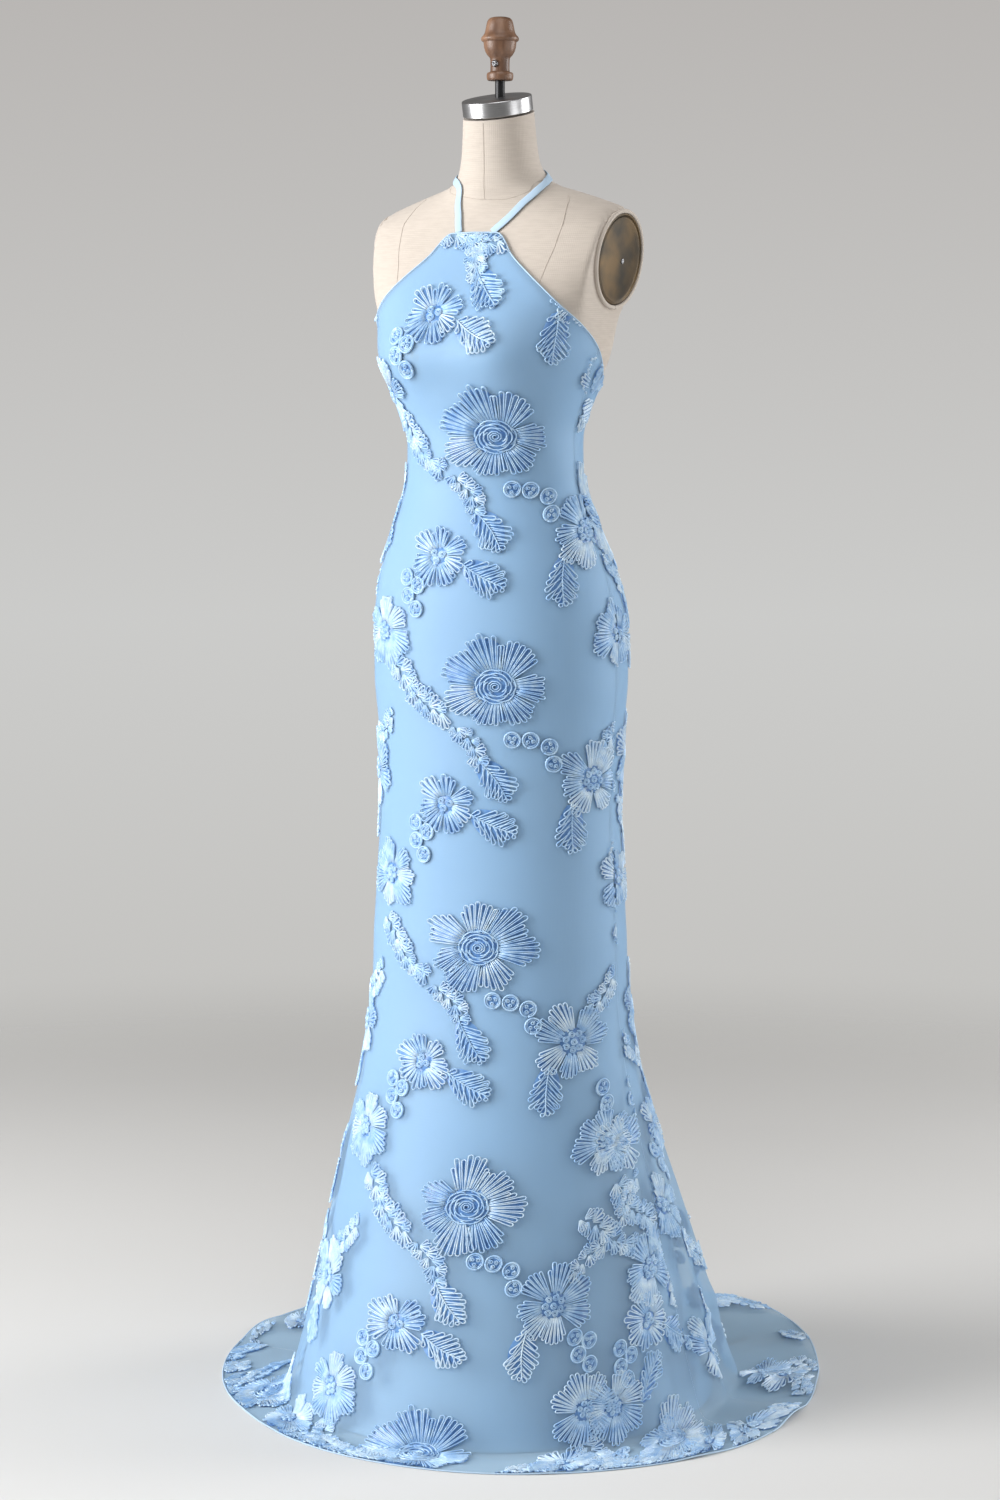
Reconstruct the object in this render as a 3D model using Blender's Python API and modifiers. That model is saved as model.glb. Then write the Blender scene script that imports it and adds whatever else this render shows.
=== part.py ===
"""A mermaid prom dress on a limbless dress form.

Metres, +Z up. The front faces -Y, the wearer's left is +X, and the origin is on the floor under the pole.

The cloth is laid out in pattern coordinates. A share says how far round the ring a point lies: 0 at centre
front, 0.25 at the left side seam, 0.5 or -0.5 at centre back, growing towards the right of someone who looks
at that side. A level is the height above the floor down to the knee. Below the knee it is the knee's height
less the distance down the cloth, so the flared skirt and the train on the floor continue the same surface.
"""

from math import cos, pi, radians, sin, tan

import bmesh
import bpy
import numpy as np
from mathutils.geometry import delaunay_2d_cdt

# Heights and lengths of the form and the dress
KNEE = 0.560                  # where the skirt starts to flare
TORSO_BOTTOM = 0.780          # lowest level of the solid form
SHOULDER_LEVEL = 1.400        # above it the form narrows to the neck
NECK_TOP = 1.526              # middle of the cut neck, under the cap
NECK_TILT = radians(13)       # the cap leans forwards
ARM_PLANE = 0.147             # the form is cut flat here each side, at the middle of its arm plates
ARM_TILT = radians(8)         # the cut leans in towards the waist
ARM_FLAT = 1.8                # and ends this many half heights of a plate below its middle
SKIRT_CLOTH = 0.86            # cloth below the knee, more than the longest column has
LEVEL_STEP = 0.010
RING = 240                    # spans in one fine ring
FINER = 8                     # how much finer a ring or a column is first drawn

# Layers, as distances out from the form's surface
LINING_INSIDE = 0.0004
LINING_WALL = 0.0011
OVERLAY_INSIDE = 0.0018
OVERLAY_WALL = 0.0020
FLOOR_CLEARANCE = 0.0002      # underside of cloth that lies on the floor
SETTLED_LEVEL = 0.100         # below it the layers lie on the floor
SETTLING = 0.250              # levels over which they come down to it
SEAM_GAP = 0.0003

# The lace repeats at these distances
REPEAT_ACROSS = 0.320
REPEAT_DOWN = 0.296
FIRST_ROSE_LEVEL = 1.153


def table(columns, *rows):
    """The rows of a table as one array for each named column."""
    return {name: np.array(values) for name, values in zip(columns.split(), zip(*rows))}


# Cross sections of the body. Front and back are measured from the pole's axis, centre is where the widest
# line lies, and square is the exponent of the superellipse: 2 is an ellipse, more is boxier.
SECTIONS = table(
    "height half_width front back centre square",
    (0.560, .156, .124, .119, .000, 2.05),
    (0.640, .151, .119, .117, .000, 2.05),
    (0.720, .147, .115, .113, .000, 2.05),
    (0.800, .149, .114, .116, .002, 2.10),
    (0.870, .154, .117, .119, .002, 2.15),
    (0.930, .153, .118, .117, .000, 2.15),
    (0.985, .144, .115, .108, -.004, 2.15),
    (1.040, .126, .103, .088, -.010, 2.10),
    (1.100, .107, .093, .072, -.012, 2.10),
    (1.150, .104, .096, .074, -.012, 2.15),
    (1.200, .118, .110, .083, -.008, 2.25),
    (1.245, .136, .126, .087, -.002, 2.35),
    (1.290, .148, .108, .090, .000, 2.30),
    (1.330, .173, .085, .095, .008, 2.35),
    (1.370, .195, .064, .098, .016, 2.35),
    (1.395, .188, .054, .096, .018, 2.10),
    (1.412, .162, .049, .082, .018, 1.70),
    (1.430, .112, .046, .066, .014, 1.45),
    (1.446, .061, .044, .056, .007, 1.80),
    (1.470, .0465, .042, .047, -.002, 2.00),
    (1.540, .0405, .0445, .0365, -.004, 2.00),
)
BUST = dict(depth=.008, x=.068, wide=.036, height=1.245, tall=.050)

# How the skirt leaves the knee: flare is the share of the way from the knee's radius to the landing on the
# floor, where it runs on
FLARE = table(
    "height flare",
    (.560, 0), (.500, .015), (.440, .07), (.390, .15), (.320, .30), (.246, .46), (.180, .60), (.130, .705),
    (.080, .81), (.045, .89), (.020, .955), (.007, 1.0), (.001, 1.06), (.000, 1.13), (.000, 5.13),
)

# Radii from the pole: where the overlay lands on the floor, where its hem lies, and the lining's hem
HEM = table(
    "angle landing overlay lining",
    (-180, .300, .500, .262),
    (-150, .294, .482, .258),
    (-125, .282, .446, .254),
    (-105, .270, .414, .250),
    (-85, .260, .371, .248),
    (-62, .257, .338, .246),
    (-35, .263, .318, .244),
    (0, .274, .325, .248),
    (30, .280, .337, .256),
    (55, .278, .348, .248),
    (80, .276, .364, .246),
    (100, .276, .370, .248),
    (120, .280, .386, .250),
    (140, .288, .420, .254),
    (160, .298, .478, .258),
    (180, .300, .500, .262),
)

# Soft flutes of the skirt: width is the share from crest to foot, start the level where each one begins
FLUTES = table(
    "share width depth start",
    (-.46875, .031, .011, .36),
    (-.40625, .031, .012, .38),
    (-.34375, .031, .010, .36),
    (-.28125, .031, .007, .30),
    (-.160, .030, .003, .16),
    (-.070, .030, .003, .12),
    (.100, .030, .003, .12),
    (.190, .030, .004, .16),
    (.28125, .031, .010, .40),
    (.34375, .031, .013, .42),
    (.40625, .031, .012, .40),
    (.46875, .031, .011, .36),
)
FLUTE_GROWTH = 0.34           # cloth over which a flute reaches its depth
FLUTE_FADES_FROM = 0.04       # level below which it sinks towards the floor
FLUTE_FADES_OVER = 0.20
FLUTE_LEFT_AT_HEM = 0.6

# The top edge of the dress: halter front, straight slant to the underarm, low back
NECKLINE = table(
    "share level",
    (0, 1.386), (.034, 1.385), (.060, 1.359), (.091, 1.338), (.144, 1.307), (.199, 1.280), (.250, 1.254),
    (.320, 1.207), (.400, 1.170), (.500, 1.155),
)

# Columns and rows of the panels
FRONT_SHARES = (0, .04, .07, .10, .13, .16, .19, .22, .25)
BACK_SHARES = tuple(np.linspace(.25, .5, 9))
CLOTH_LEVELS = (.06, .12, .18, .24, .30, .36, .42, .48, .54, .62, .70, .78, .84, .90, .96, 1.02, 1.08)
TRAIN_ROWS = 4                # from the lowest of those levels to the hem
NECKLINE_ROWS = 7             # from the highest of them to the top edge
SHOULDER_ROWS = 5             # on the form, from the top edge of the dress to the shoulder level
NECK_LEVELS = (1.412, 1.424, 1.435, 1.444, 1.452, 1.462, 1.480, 1.500)

# Embroidered motifs, each one raised shape: notch is how deep the outline goes in between two petals, rise
# how thick the ribbon lies, heart how much more it rises over the coiled middle
MOTIFS = {
    "rose": dict(length=.108, width=.104, points=14, notch=.15, rise=.0026, heart=.0018),
    "daisy": dict(length=.098, width=.096, points=14, notch=.22, rise=.0026, heart=.0016),
    "open": dict(length=.092, width=.090, points=12, notch=.18, rise=.0024, heart=.0016),
    "small": dict(length=.072, width=.078, points=10, notch=.18, rise=.0024, heart=.0014),
    "leaf": dict(length=.064, width=.037, points=6, notch=0, rise=.0022, heart=0),
    "berries": dict(length=.042, width=.024, points=6, notch=0, rise=.0030, heart=0),
    "vine": dict(length=.056, width=.025, points=6, notch=0, rise=.0020, heart=0),
}
ROUND_OVAL, POINTED_OVAL = 2, 1.5    # exponents of the outlines' superellipses
MOTIF_SLOPE = 0.0025          # width of the raised edge
HEART_SHARE = 0.30            # radius of the coiled middle, as a share of the motif's
HEART_POINTS = 5
LEAST_SPACING = 0.0020        # between two points of the outer surface
EDGE_CLEARANCE = 0.005        # outlines stop this far inside a panel's edge
LEAST_WALL = 0.0013           # where the outside comes nearer the inside than this, it gets another point
MENDING_ROUNDS = 6

# One repeat of the lace: across from the panel's middle, drop below the rose, turn from upright
REPEAT = table(
    "kind across drop turn",
    ("rose", .048, .000, 0),
    ("vine", -.052, .012, 55),
    ("vine", .014, .064, 36),
    ("leaf", .045, .110, 38),
    ("berries", .080, .062, 88),
    ("berries", .112, .080, 14),
    ("daisy", .164, .110, 0),
    ("leaf", .138, .166, 5),
    ("small", -.012, .139, 0),
    ("leaf", .046, .162, 68),
    ("berries", -.045, .180, 0),
    ("open", -.098, .230, 0),
)

# How each row of repeats lies off its place
ROWS = table(
    "row across level",
    (-1, .000, -.012),
    (0, -.003, .000),
    (1, .009, .009),
    (2, -.008, .000),
    (3, .008, -.006),
    (4, .000, .000),
    (5, .000, .000),
)

# Motifs low on the front, towards the wearer's left, where the flared cloth has room for more
FRONT_EXTRAS = table(
    "kind across level turn",
    ("berries", .205, .385, 20),
    ("small", .238, .327, 0),
    ("vine", .262, .268, -35),
    ("leaf", .235, .226, 70),
    ("daisy", .311, .178, 0),
    ("berries", .218, .098, 10),
    ("open", .269, .030, 0),
    ("leaf", .325, .055, 40),
)

# Panels: first and last share, the share that the lace is measured from, how far the lace is shifted across
# and down, and which repeats across it fall on the panel
PANELS = {
    "front": dict(shares=FRONT_SHARES, middle=0, shift=0, lower=0, repeats=(-1, 0)),
    "back_left": dict(shares=BACK_SHARES, middle=.5, shift=-.197, lower=.090, repeats=(-2, -1, 0)),
    "back_right": dict(shares=BACK_SHARES, middle=-.5, shift=-.197, lower=.090, repeats=(0, 1, 2)),
}

# The halter strap's middle line on the form, from the neckline's right corner round the neck to its left one
STRAP_WIDTH = 0.009
STRAP_INSIDE = 0.0014
STRAP_THICKNESS = 0.0016
STRAP_SPANS = 40
STRAP = table(
    "share level",
    (-.0235, 1.3863), (-.0325, 1.4050), (-.0510, 1.4230), (-.0800, 1.4385), (-.125, 1.4465), (-.175, 1.4500),
    (-.230, 1.4530), (-.320, 1.4565), (-.420, 1.4575), (-.500, 1.4575), (-.580, 1.4560), (-.650, 1.4530),
    (-.720, 1.4490), (-.790, 1.4425), (-.860, 1.4334), (-.918, 1.4190), (-.948, 1.4040), (-.965, 1.3930),
    (-.9738, 1.3863),
)

# Hardware of the form
CAP = dict(radius=.0412, height=.0180, edge=.0025, y=-.004)
ROD_RADIUS = 0.00575
FINIAL_BOTTOM = 1.5643
FINIAL_NECK_TOP = 1.5900
FINIAL = table(
    "radius height",
    (.0005, 1.6420), (.0075, 1.6412), (.0140, 1.6375), (.0175, 1.6305), (.0185, 1.6220), (.0190, 1.6190),
    (.0220, 1.6180), (.0222, 1.6150), (.0215, 1.6120), (.0190, 1.6090), (.0165, 1.6000), (.0125, 1.5925),
    (.01125, FINIAL_NECK_TOP), (.01125, 1.5745), (.0152, 1.5730), (.0155, 1.5690), (.0150, FINIAL_BOTTOM),
)
SCREW = dict(radius=.0030, face_radius=.0024, length=.0030, height=1.5830, sides=12)
PLATE = dict(y=.019, z=1.356, half_y=.0515, half_z=.053, thick=.004, bevel=.94, sides=36)
POLE_RADIUS = 0.015
BASE = table(
    "radius height",
    (.024, .040), (.028, .037), (.030, .030), (.032, .020), (.060, .0145), (.160, .0095), (.168, .0070),
    (.170, .0035), (.170, 0),
)
TURNED_STEPS = 20
LIFT = 0.0003                 # between two hard pieces that rest on each other

COLOURS = {
    "sheer": ((.36, .60, .88, 1), .55, 0),
    "satin": ((.42, .66, .92, 1), .45, 0),
    "linen": ((.80, .74, .66, 1), .85, 0),
    "steel": ((.62, .62, .63, 1), .28, 1),
    "black": ((.02, .02, .02, 1), .40, .6),
    "wood": ((.42, .20, .11, 1), .40, 0),
    "bronze": ((.16, .11, .07, 1), .45, .8),
}


def smooth(at, x, y):
    """A monotone cubic curve through the points (x, y), read at the places given."""
    at = np.clip(np.asarray(at, float), x[0], x[-1])
    step, slope = np.diff(x), np.diff(y) / np.diff(x)
    ahead, behind = 2 * step[1:] + step[:-1], step[1:] + 2 * step[:-1]
    same_way = slope[:-1] * slope[1:] > 0
    first, second = np.where(same_way, slope[:-1], 1), np.where(same_way, slope[1:], 1)
    tangent = np.empty(len(x))
    tangent[1:-1] = np.where(same_way, (ahead + behind) / (ahead / first + behind / second), 0)
    tangent[0], tangent[-1] = slope[0], slope[-1]
    i = np.clip(np.searchsorted(x, at) - 1, 0, len(x) - 2)
    t, h = (at - x[i]) / step[i], step[i]
    return ((1 + 2 * t) * (1 - t) ** 2 * y[i] + t * (1 - t) ** 2 * h * tangent[i]
            + t * t * (3 - 2 * t) * y[i + 1] + t * t * (t - 1) * h * tangent[i + 1])


def ramp(value):
    """0 up to 0, 1 from 1, and smooth between them."""
    value = np.clip(value, 0, 1)
    return value * value * (3 - 2 * value)


def evenly_spaced(points, count):
    """The same path with its points at even distances."""
    along = np.concatenate([[0], np.cumsum(np.linalg.norm(np.diff(points, axis=0), axis=1))])
    at = np.linspace(0, along[-1], count)
    return np.stack([np.interp(at, along, points[:, k]) for k in range(points.shape[1])], axis=1)


def body_ring(height):
    """The body's outline at a height, from centre back by centre front to centre back, evenly spaced."""
    half_width, front, back, centre, square = (
        smooth(height, SECTIONS["height"], SECTIONS[name])
        for name in ("half_width", "front", "back", "centre", "square")
    )
    turn = np.linspace(-pi, pi, FINER * RING + 1)
    ahead, aside = np.cos(turn), np.sin(turn)
    x = half_width * np.sign(aside) * np.abs(aside) ** (2 / square)
    depth = np.where(ahead > 0, front + centre, back - centre)
    y = centre - depth * np.sign(ahead) * np.abs(ahead) ** (2 / square)
    aside_of_cup = (np.abs(x) - BUST["x"]) / BUST["wide"]
    above_cup = (height - BUST["height"]) / BUST["tall"]
    y -= BUST["depth"] * np.exp(-aside_of_cup ** 2 - above_cup ** 2) * ramp(2 * ahead)
    return evenly_spaced(np.stack([x, y], axis=1), RING + 1)


def leaning_ring(level):
    """The body's outline as points, tilted forwards more and more from the shoulder to the cap."""
    ring = body_ring(level)
    lean = ramp((level - SHOULDER_LEVEL) / (NECK_TOP - SHOULDER_LEVEL))
    return np.column_stack([ring, level + lean * tan(NECK_TILT) * (ring[:, 1] - CAP["y"])])


def skirt_columns(knee, landing):
    """The skirt below the knee, a row for each step of cloth, each column straight out from the pole."""
    steps = int(round(SKIRT_CLOTH / LEVEL_STEP))
    columns = []
    for (x, y), land in zip(knee, landing):
        start = np.hypot(x, y)
        path = np.stack([start + FLARE["flare"] * (land - start), FLARE["height"]], axis=1)
        along = np.concatenate([[0], np.cumsum(np.linalg.norm(np.diff(path, axis=0), axis=1))])
        fine = np.linspace(0, SKIRT_CLOTH, FINER * steps)
        radius, z = smooth(fine, along, path[:, 0]), smooth(fine, along, path[:, 1])
        cloth = np.concatenate([[0], np.cumsum(np.hypot(np.diff(radius), np.diff(z)))])
        down = LEVEL_STEP * np.arange(steps + 1)
        radius, z = np.interp(down, cloth, radius), np.interp(down, cloth, z)
        columns.append(np.stack([radius * x / start, radius * y / start, z], axis=1))
    return np.array(columns).transpose(1, 0, 2)


def flutes(shares, levels):
    """How far the skirt's soft flutes stand out."""
    height = np.zeros(np.broadcast(shares, levels).shape)
    for share, width, depth, start in zip(*(FLUTES[name] for name in ("share", "width", "depth", "start"))):
        crest = np.clip(np.abs(shares - share) / width, 0, 1)
        grown = ramp((start - levels) / FLUTE_GROWTH)
        fading = 1 - (1 - FLUTE_LEFT_AT_HEM) * ramp((FLUTE_FADES_FROM - levels) / FLUTE_FADES_OVER)
        height += depth * .5 * (1 + np.cos(pi * crest)) * grown * fading
    return height


class Surface:
    """The body and one skirt below it, read in pattern coordinates."""

    def __init__(self, landing, hem, fluted):
        body_levels = np.arange(KNEE, SECTIONS["height"][-1] + LEVEL_STEP / 2, LEVEL_STEP)
        body = [leaning_ring(level) for level in body_levels]
        angle = np.degrees(np.arctan2(body[0][:, 0], -body[0][:, 1]))
        angle[0], angle[-1] = -180, 180
        skirt = skirt_columns(body[0][:, :2], smooth(angle, HEM["angle"], landing))
        down = LEVEL_STEP * np.arange(len(skirt))
        reach = smooth(angle, HEM["angle"], hem)
        lengths = [np.interp(r, np.hypot(*skirt[:, i, :2].T), down) for i, r in enumerate(reach)]
        self.shares = np.linspace(-.5, .5, RING + 1)
        self.hem_levels = KNEE - np.array(lengths)
        self.points = np.concatenate([skirt[:0:-1], np.array(body)])
        self.lowest = KNEE - down[-1]
        self.levels = self.lowest + LEVEL_STEP * np.arange(len(self.points))
        if fluted:
            out = flutes(self.shares[None], self.levels[:, None])
            self.points = self.points + out[..., None] * self.facing()
        self.normals = self.facing()
        self.girths = np.linalg.norm(np.diff(self.points, axis=1), axis=2).sum(axis=1)

    def facing(self):
        """Unit normals, outwards, and upwards where the cloth lies on the floor."""
        ring = self.points[:, :-1]
        across = np.roll(ring, -1, axis=1) - np.roll(ring, 1, axis=1)
        normal = np.cross(across, np.gradient(ring, axis=0))
        normal /= np.linalg.norm(normal, axis=2, keepdims=True)
        return np.concatenate([normal, normal[:, :1]], axis=1)

    def at(self, shares, levels, out=0.0):
        """Points on the surface, moved outwards."""
        shares, levels, out = np.broadcast_arrays(shares, levels, out)
        row = np.clip((levels - self.lowest) / LEVEL_STEP, 0, len(self.points) - 1.001)
        column = np.clip((shares + .5) * RING, 0, RING - .001)
        i, j = row.astype(int), column.astype(int)
        v, u = (row - i)[..., None], (column - j)[..., None]
        read = []
        for grid in (self.points, self.normals):
            below = (1 - u) * grid[i, j] + u * grid[i, j + 1]
            over = (1 - u) * grid[i + 1, j] + u * grid[i + 1, j + 1]
            read.append((1 - v) * below + v * over)
        point, normal = read
        return point + out[..., None] * normal / np.linalg.norm(normal, axis=-1, keepdims=True)

    def girth(self, levels):
        return np.interp(levels, self.levels, self.girths)

    def hem(self, shares):
        return np.interp(shares, self.shares, self.hem_levels)


def neckline(shares):
    return smooth(np.abs(shares), NECKLINE["share"], NECKLINE["level"])


def thinning(levels, away_from_form):
    """A layer's distance from the form, closing to the floor clearance where the cloth comes down."""
    on_body = ramp((np.asarray(levels) - SETTLED_LEVEL) / SETTLING)
    return FLOOR_CLEARANCE + (away_from_form - FLOOR_CLEARANCE) * on_body


def panel_shares(panel):
    """The columns of a panel, from its left edge to its right as seen from outside."""
    outwards = np.array(panel["shares"])
    if panel["middle"] == 0:
        return np.concatenate([-outwards[:0:-1], outwards])
    return outwards if panel["middle"] > 0 else -outwards[::-1]


def panel_grid(surface, panel, train_rows):
    """Shares and levels of a panel's points, rows from the hem up, with half a seam gap left at each edge."""
    columns = panel_shares(panel)
    lowest, highest = CLOTH_LEVELS[0], CLOTH_LEVELS[-1]
    up = np.linspace(0, 1, train_rows + 1)[:-1, None]
    train = surface.hem(columns) + up * (lowest - surface.hem(columns))
    body = np.repeat(np.array(CLOTH_LEVELS)[:, None], len(columns), axis=1)
    up = np.linspace(0, 1, NECKLINE_ROWS + 1)[1:, None]
    top = highest + up * (neckline(columns) - highest)
    levels = np.concatenate([train, body, top])
    shares = np.repeat(columns[None], len(levels), axis=0)
    shares[:, 0] += SEAM_GAP / 2 / surface.girth(levels[:, 0])
    shares[:, -1] -= SEAM_GAP / 2 / surface.girth(levels[:, -1])
    return shares, levels


def grid_triangles(rows, columns):
    """Two triangles for each cell of a grid, facing whoever sees the rows go up and the columns right."""
    corner = (np.arange(rows - 1)[:, None] * columns + np.arange(columns - 1)).ravel()
    right, up, across = corner + 1, corner + columns, corner + columns + 1
    return np.concatenate([np.stack([corner, right, across], 1), np.stack([corner, across, up], 1)])


def grid_border(rows, columns):
    """The indices round a grid, anticlockwise."""
    index = np.arange(rows * columns).reshape(rows, columns)
    return np.concatenate([index[0, :-1], index[:-1, -1], index[-1, :0:-1], index[:0:-1, 0]])


def material(name):
    colour, roughness, metallic = COLOURS[name]
    found = bpy.data.materials.get(name)
    if found is None:
        found = bpy.data.materials.new(name)
        found.use_nodes = True
        shader = found.node_tree.nodes["Principled BSDF"]
        shader.inputs["Base Color"].default_value = colour
        shader.inputs["Roughness"].default_value = roughness
        shader.inputs["Metallic"].default_value = metallic
        found.diffuse_color = colour
    return found


def add_object(name, mesh, colour):
    obj = bpy.data.objects.new(name, mesh)
    obj.data.materials.append(material(colour))
    obj.data.shade_smooth()
    obj.data.set_sharp_from_angle(angle=radians(40))
    PART.objects.link(obj)
    return obj


def mesh_of(name, points, faces):
    mesh = bpy.data.meshes.new(name)
    mesh.from_pydata(np.asarray(points).tolist(), [], [list(map(int, face)) for face in faces])
    return mesh


def mesh_from_bmesh(name, work):
    mesh = bpy.data.meshes.new(name)
    work.to_mesh(mesh)
    work.free()
    return mesh


class Motif:
    """One raised flower, leaf or stretch of vine, a shape that is seen whole from its own centre."""

    def __init__(self, kind, across, level, turn):
        shape = MOTIFS[kind]
        self.centre = np.array([across, level])
        self.turn = radians(turn)
        self.half = np.array([shape["width"], shape["length"]]) / 2
        self.points, self.notch = shape["points"], shape["notch"]
        self.rise, self.heart = shape["rise"], shape["heart"]
        self.reach = max(self.half) + MOTIF_SLOPE

    def radius(self, angle):
        """The outline's distance from the centre. Leaves are pointed ovals, flowers are notched rounds."""
        power = ROUND_OVAL if self.notch else POINTED_OVAL
        aside, along = np.abs(np.sin(angle)) / self.half[0], np.abs(np.cos(angle)) / self.half[1]
        between_petals = np.sin(self.points / 4 * angle) ** 2
        return (aside ** power + along ** power) ** (-1 / power) * (1 - self.notch * between_petals)

    def outline(self, extra=0.0):
        angle = 2 * pi * np.arange(self.points) / self.points
        radius = self.radius(angle) + extra
        return self.placed(angle, radius)

    def middle(self):
        """The points of the coiled heart, or the one high point of a leaf."""
        if not self.heart:
            return self.centre[None]
        angle = 2 * pi * np.arange(HEART_POINTS) / HEART_POINTS
        ring = self.placed(angle, np.full(HEART_POINTS, HEART_SHARE * min(self.half)))
        return np.concatenate([self.centre[None], ring])

    def placed(self, angle, radius):
        angle = angle + self.turn
        return self.centre + np.stack([-radius * np.sin(angle), radius * np.cos(angle)], axis=1)

    def height(self, points):
        away = points - self.centre
        distance = np.hypot(*away.T)
        angle = np.arctan2(-away[:, 0], away[:, 1]) - self.turn
        raised = distance < self.radius(angle) + MOTIF_SLOPE / 2
        coiled = distance < 1.2 * HEART_SHARE * min(self.half)
        return raised * (self.rise + self.heart * coiled)


def motifs_of(surface, panel):
    """The motifs whose centres lie on a panel: the repeats of the lace, and the front's extras."""
    wanted = []
    for row, off_across, off_level in zip(*ROWS.values()):
        rose_level = FIRST_ROSE_LEVEL - row * REPEAT_DOWN - panel["lower"] + off_level
        for repeat in panel["repeats"]:
            moved = panel["shift"] + repeat * REPEAT_ACROSS + off_across
            for kind, across, drop, turn in zip(*REPEAT.values()):
                wanted.append((kind, across + moved, rose_level - drop, turn))
    if panel["middle"] == 0:
        wanted += list(zip(*FRONT_EXTRAS.values()))
    columns = panel_shares(panel)
    kept = []
    for kind, across, level, turn in wanted:
        share = panel["middle"] + across / surface.girth(level)
        on_panel = columns[0] < share < columns[-1]
        if on_panel and surface.hem(share) < level < neckline(share):
            kept.append(Motif(str(kind), float(across), float(level), float(turn)))
    return kept


def far_from(points, others, distance):
    """Which points are at least this far from all the others."""
    if not len(others):
        return np.ones(len(points), bool)
    gaps = np.linalg.norm(points[:, None] - np.asarray(others)[None], axis=2)
    return gaps.min(axis=1) >= distance


def inside_panel(surface, panel, points):
    """Which pattern points lie clear of the panel's edges."""
    girth = surface.girth(points[:, 1])
    share = panel["middle"] + points[:, 0] / girth
    columns = panel_shares(panel)
    margin = EDGE_CLEARANCE / girth
    within_seams = (share > columns[0] + margin) & (share < columns[-1] - margin)
    above_hem = points[:, 1] > surface.hem(share) + EDGE_CLEARANCE
    below_neckline = points[:, 1] < neckline(share) - EDGE_CLEARANCE
    return within_seams & above_hem & below_neckline


def within(polygon, points):
    """Which points lie inside a polygon: a line from each one crosses its sides an odd number of times."""
    x, y = points.T
    inside = np.zeros(len(points), bool)
    for (ax, ay), (bx, by) in zip(polygon, np.roll(polygon, -1, axis=0)):
        if ay != by:
            inside ^= ((ay > y) != (by > y)) & (x < ax + (bx - ax) * (y - ay) / (by - ay))
    return inside


def triangulated(chosen, border):
    """The triangles between pattern points within a border, and the places of the border's own points."""
    edges = [(k, (k + 1) % len(border)) for k in range(len(border))]
    points, _, faces, origins, _, _ = delaunay_2d_cdt([tuple(p) for p in chosen], edges, [], 0, 1e-6, True)
    points, faces = np.array([tuple(p) for p in points]), np.array(faces)
    faces = faces[within(border, points[faces].mean(axis=1))]
    place = {source: k for k, sources in enumerate(origins) for source in sources}
    return points, faces, np.array([place[k] for k in range(len(border))])


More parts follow.
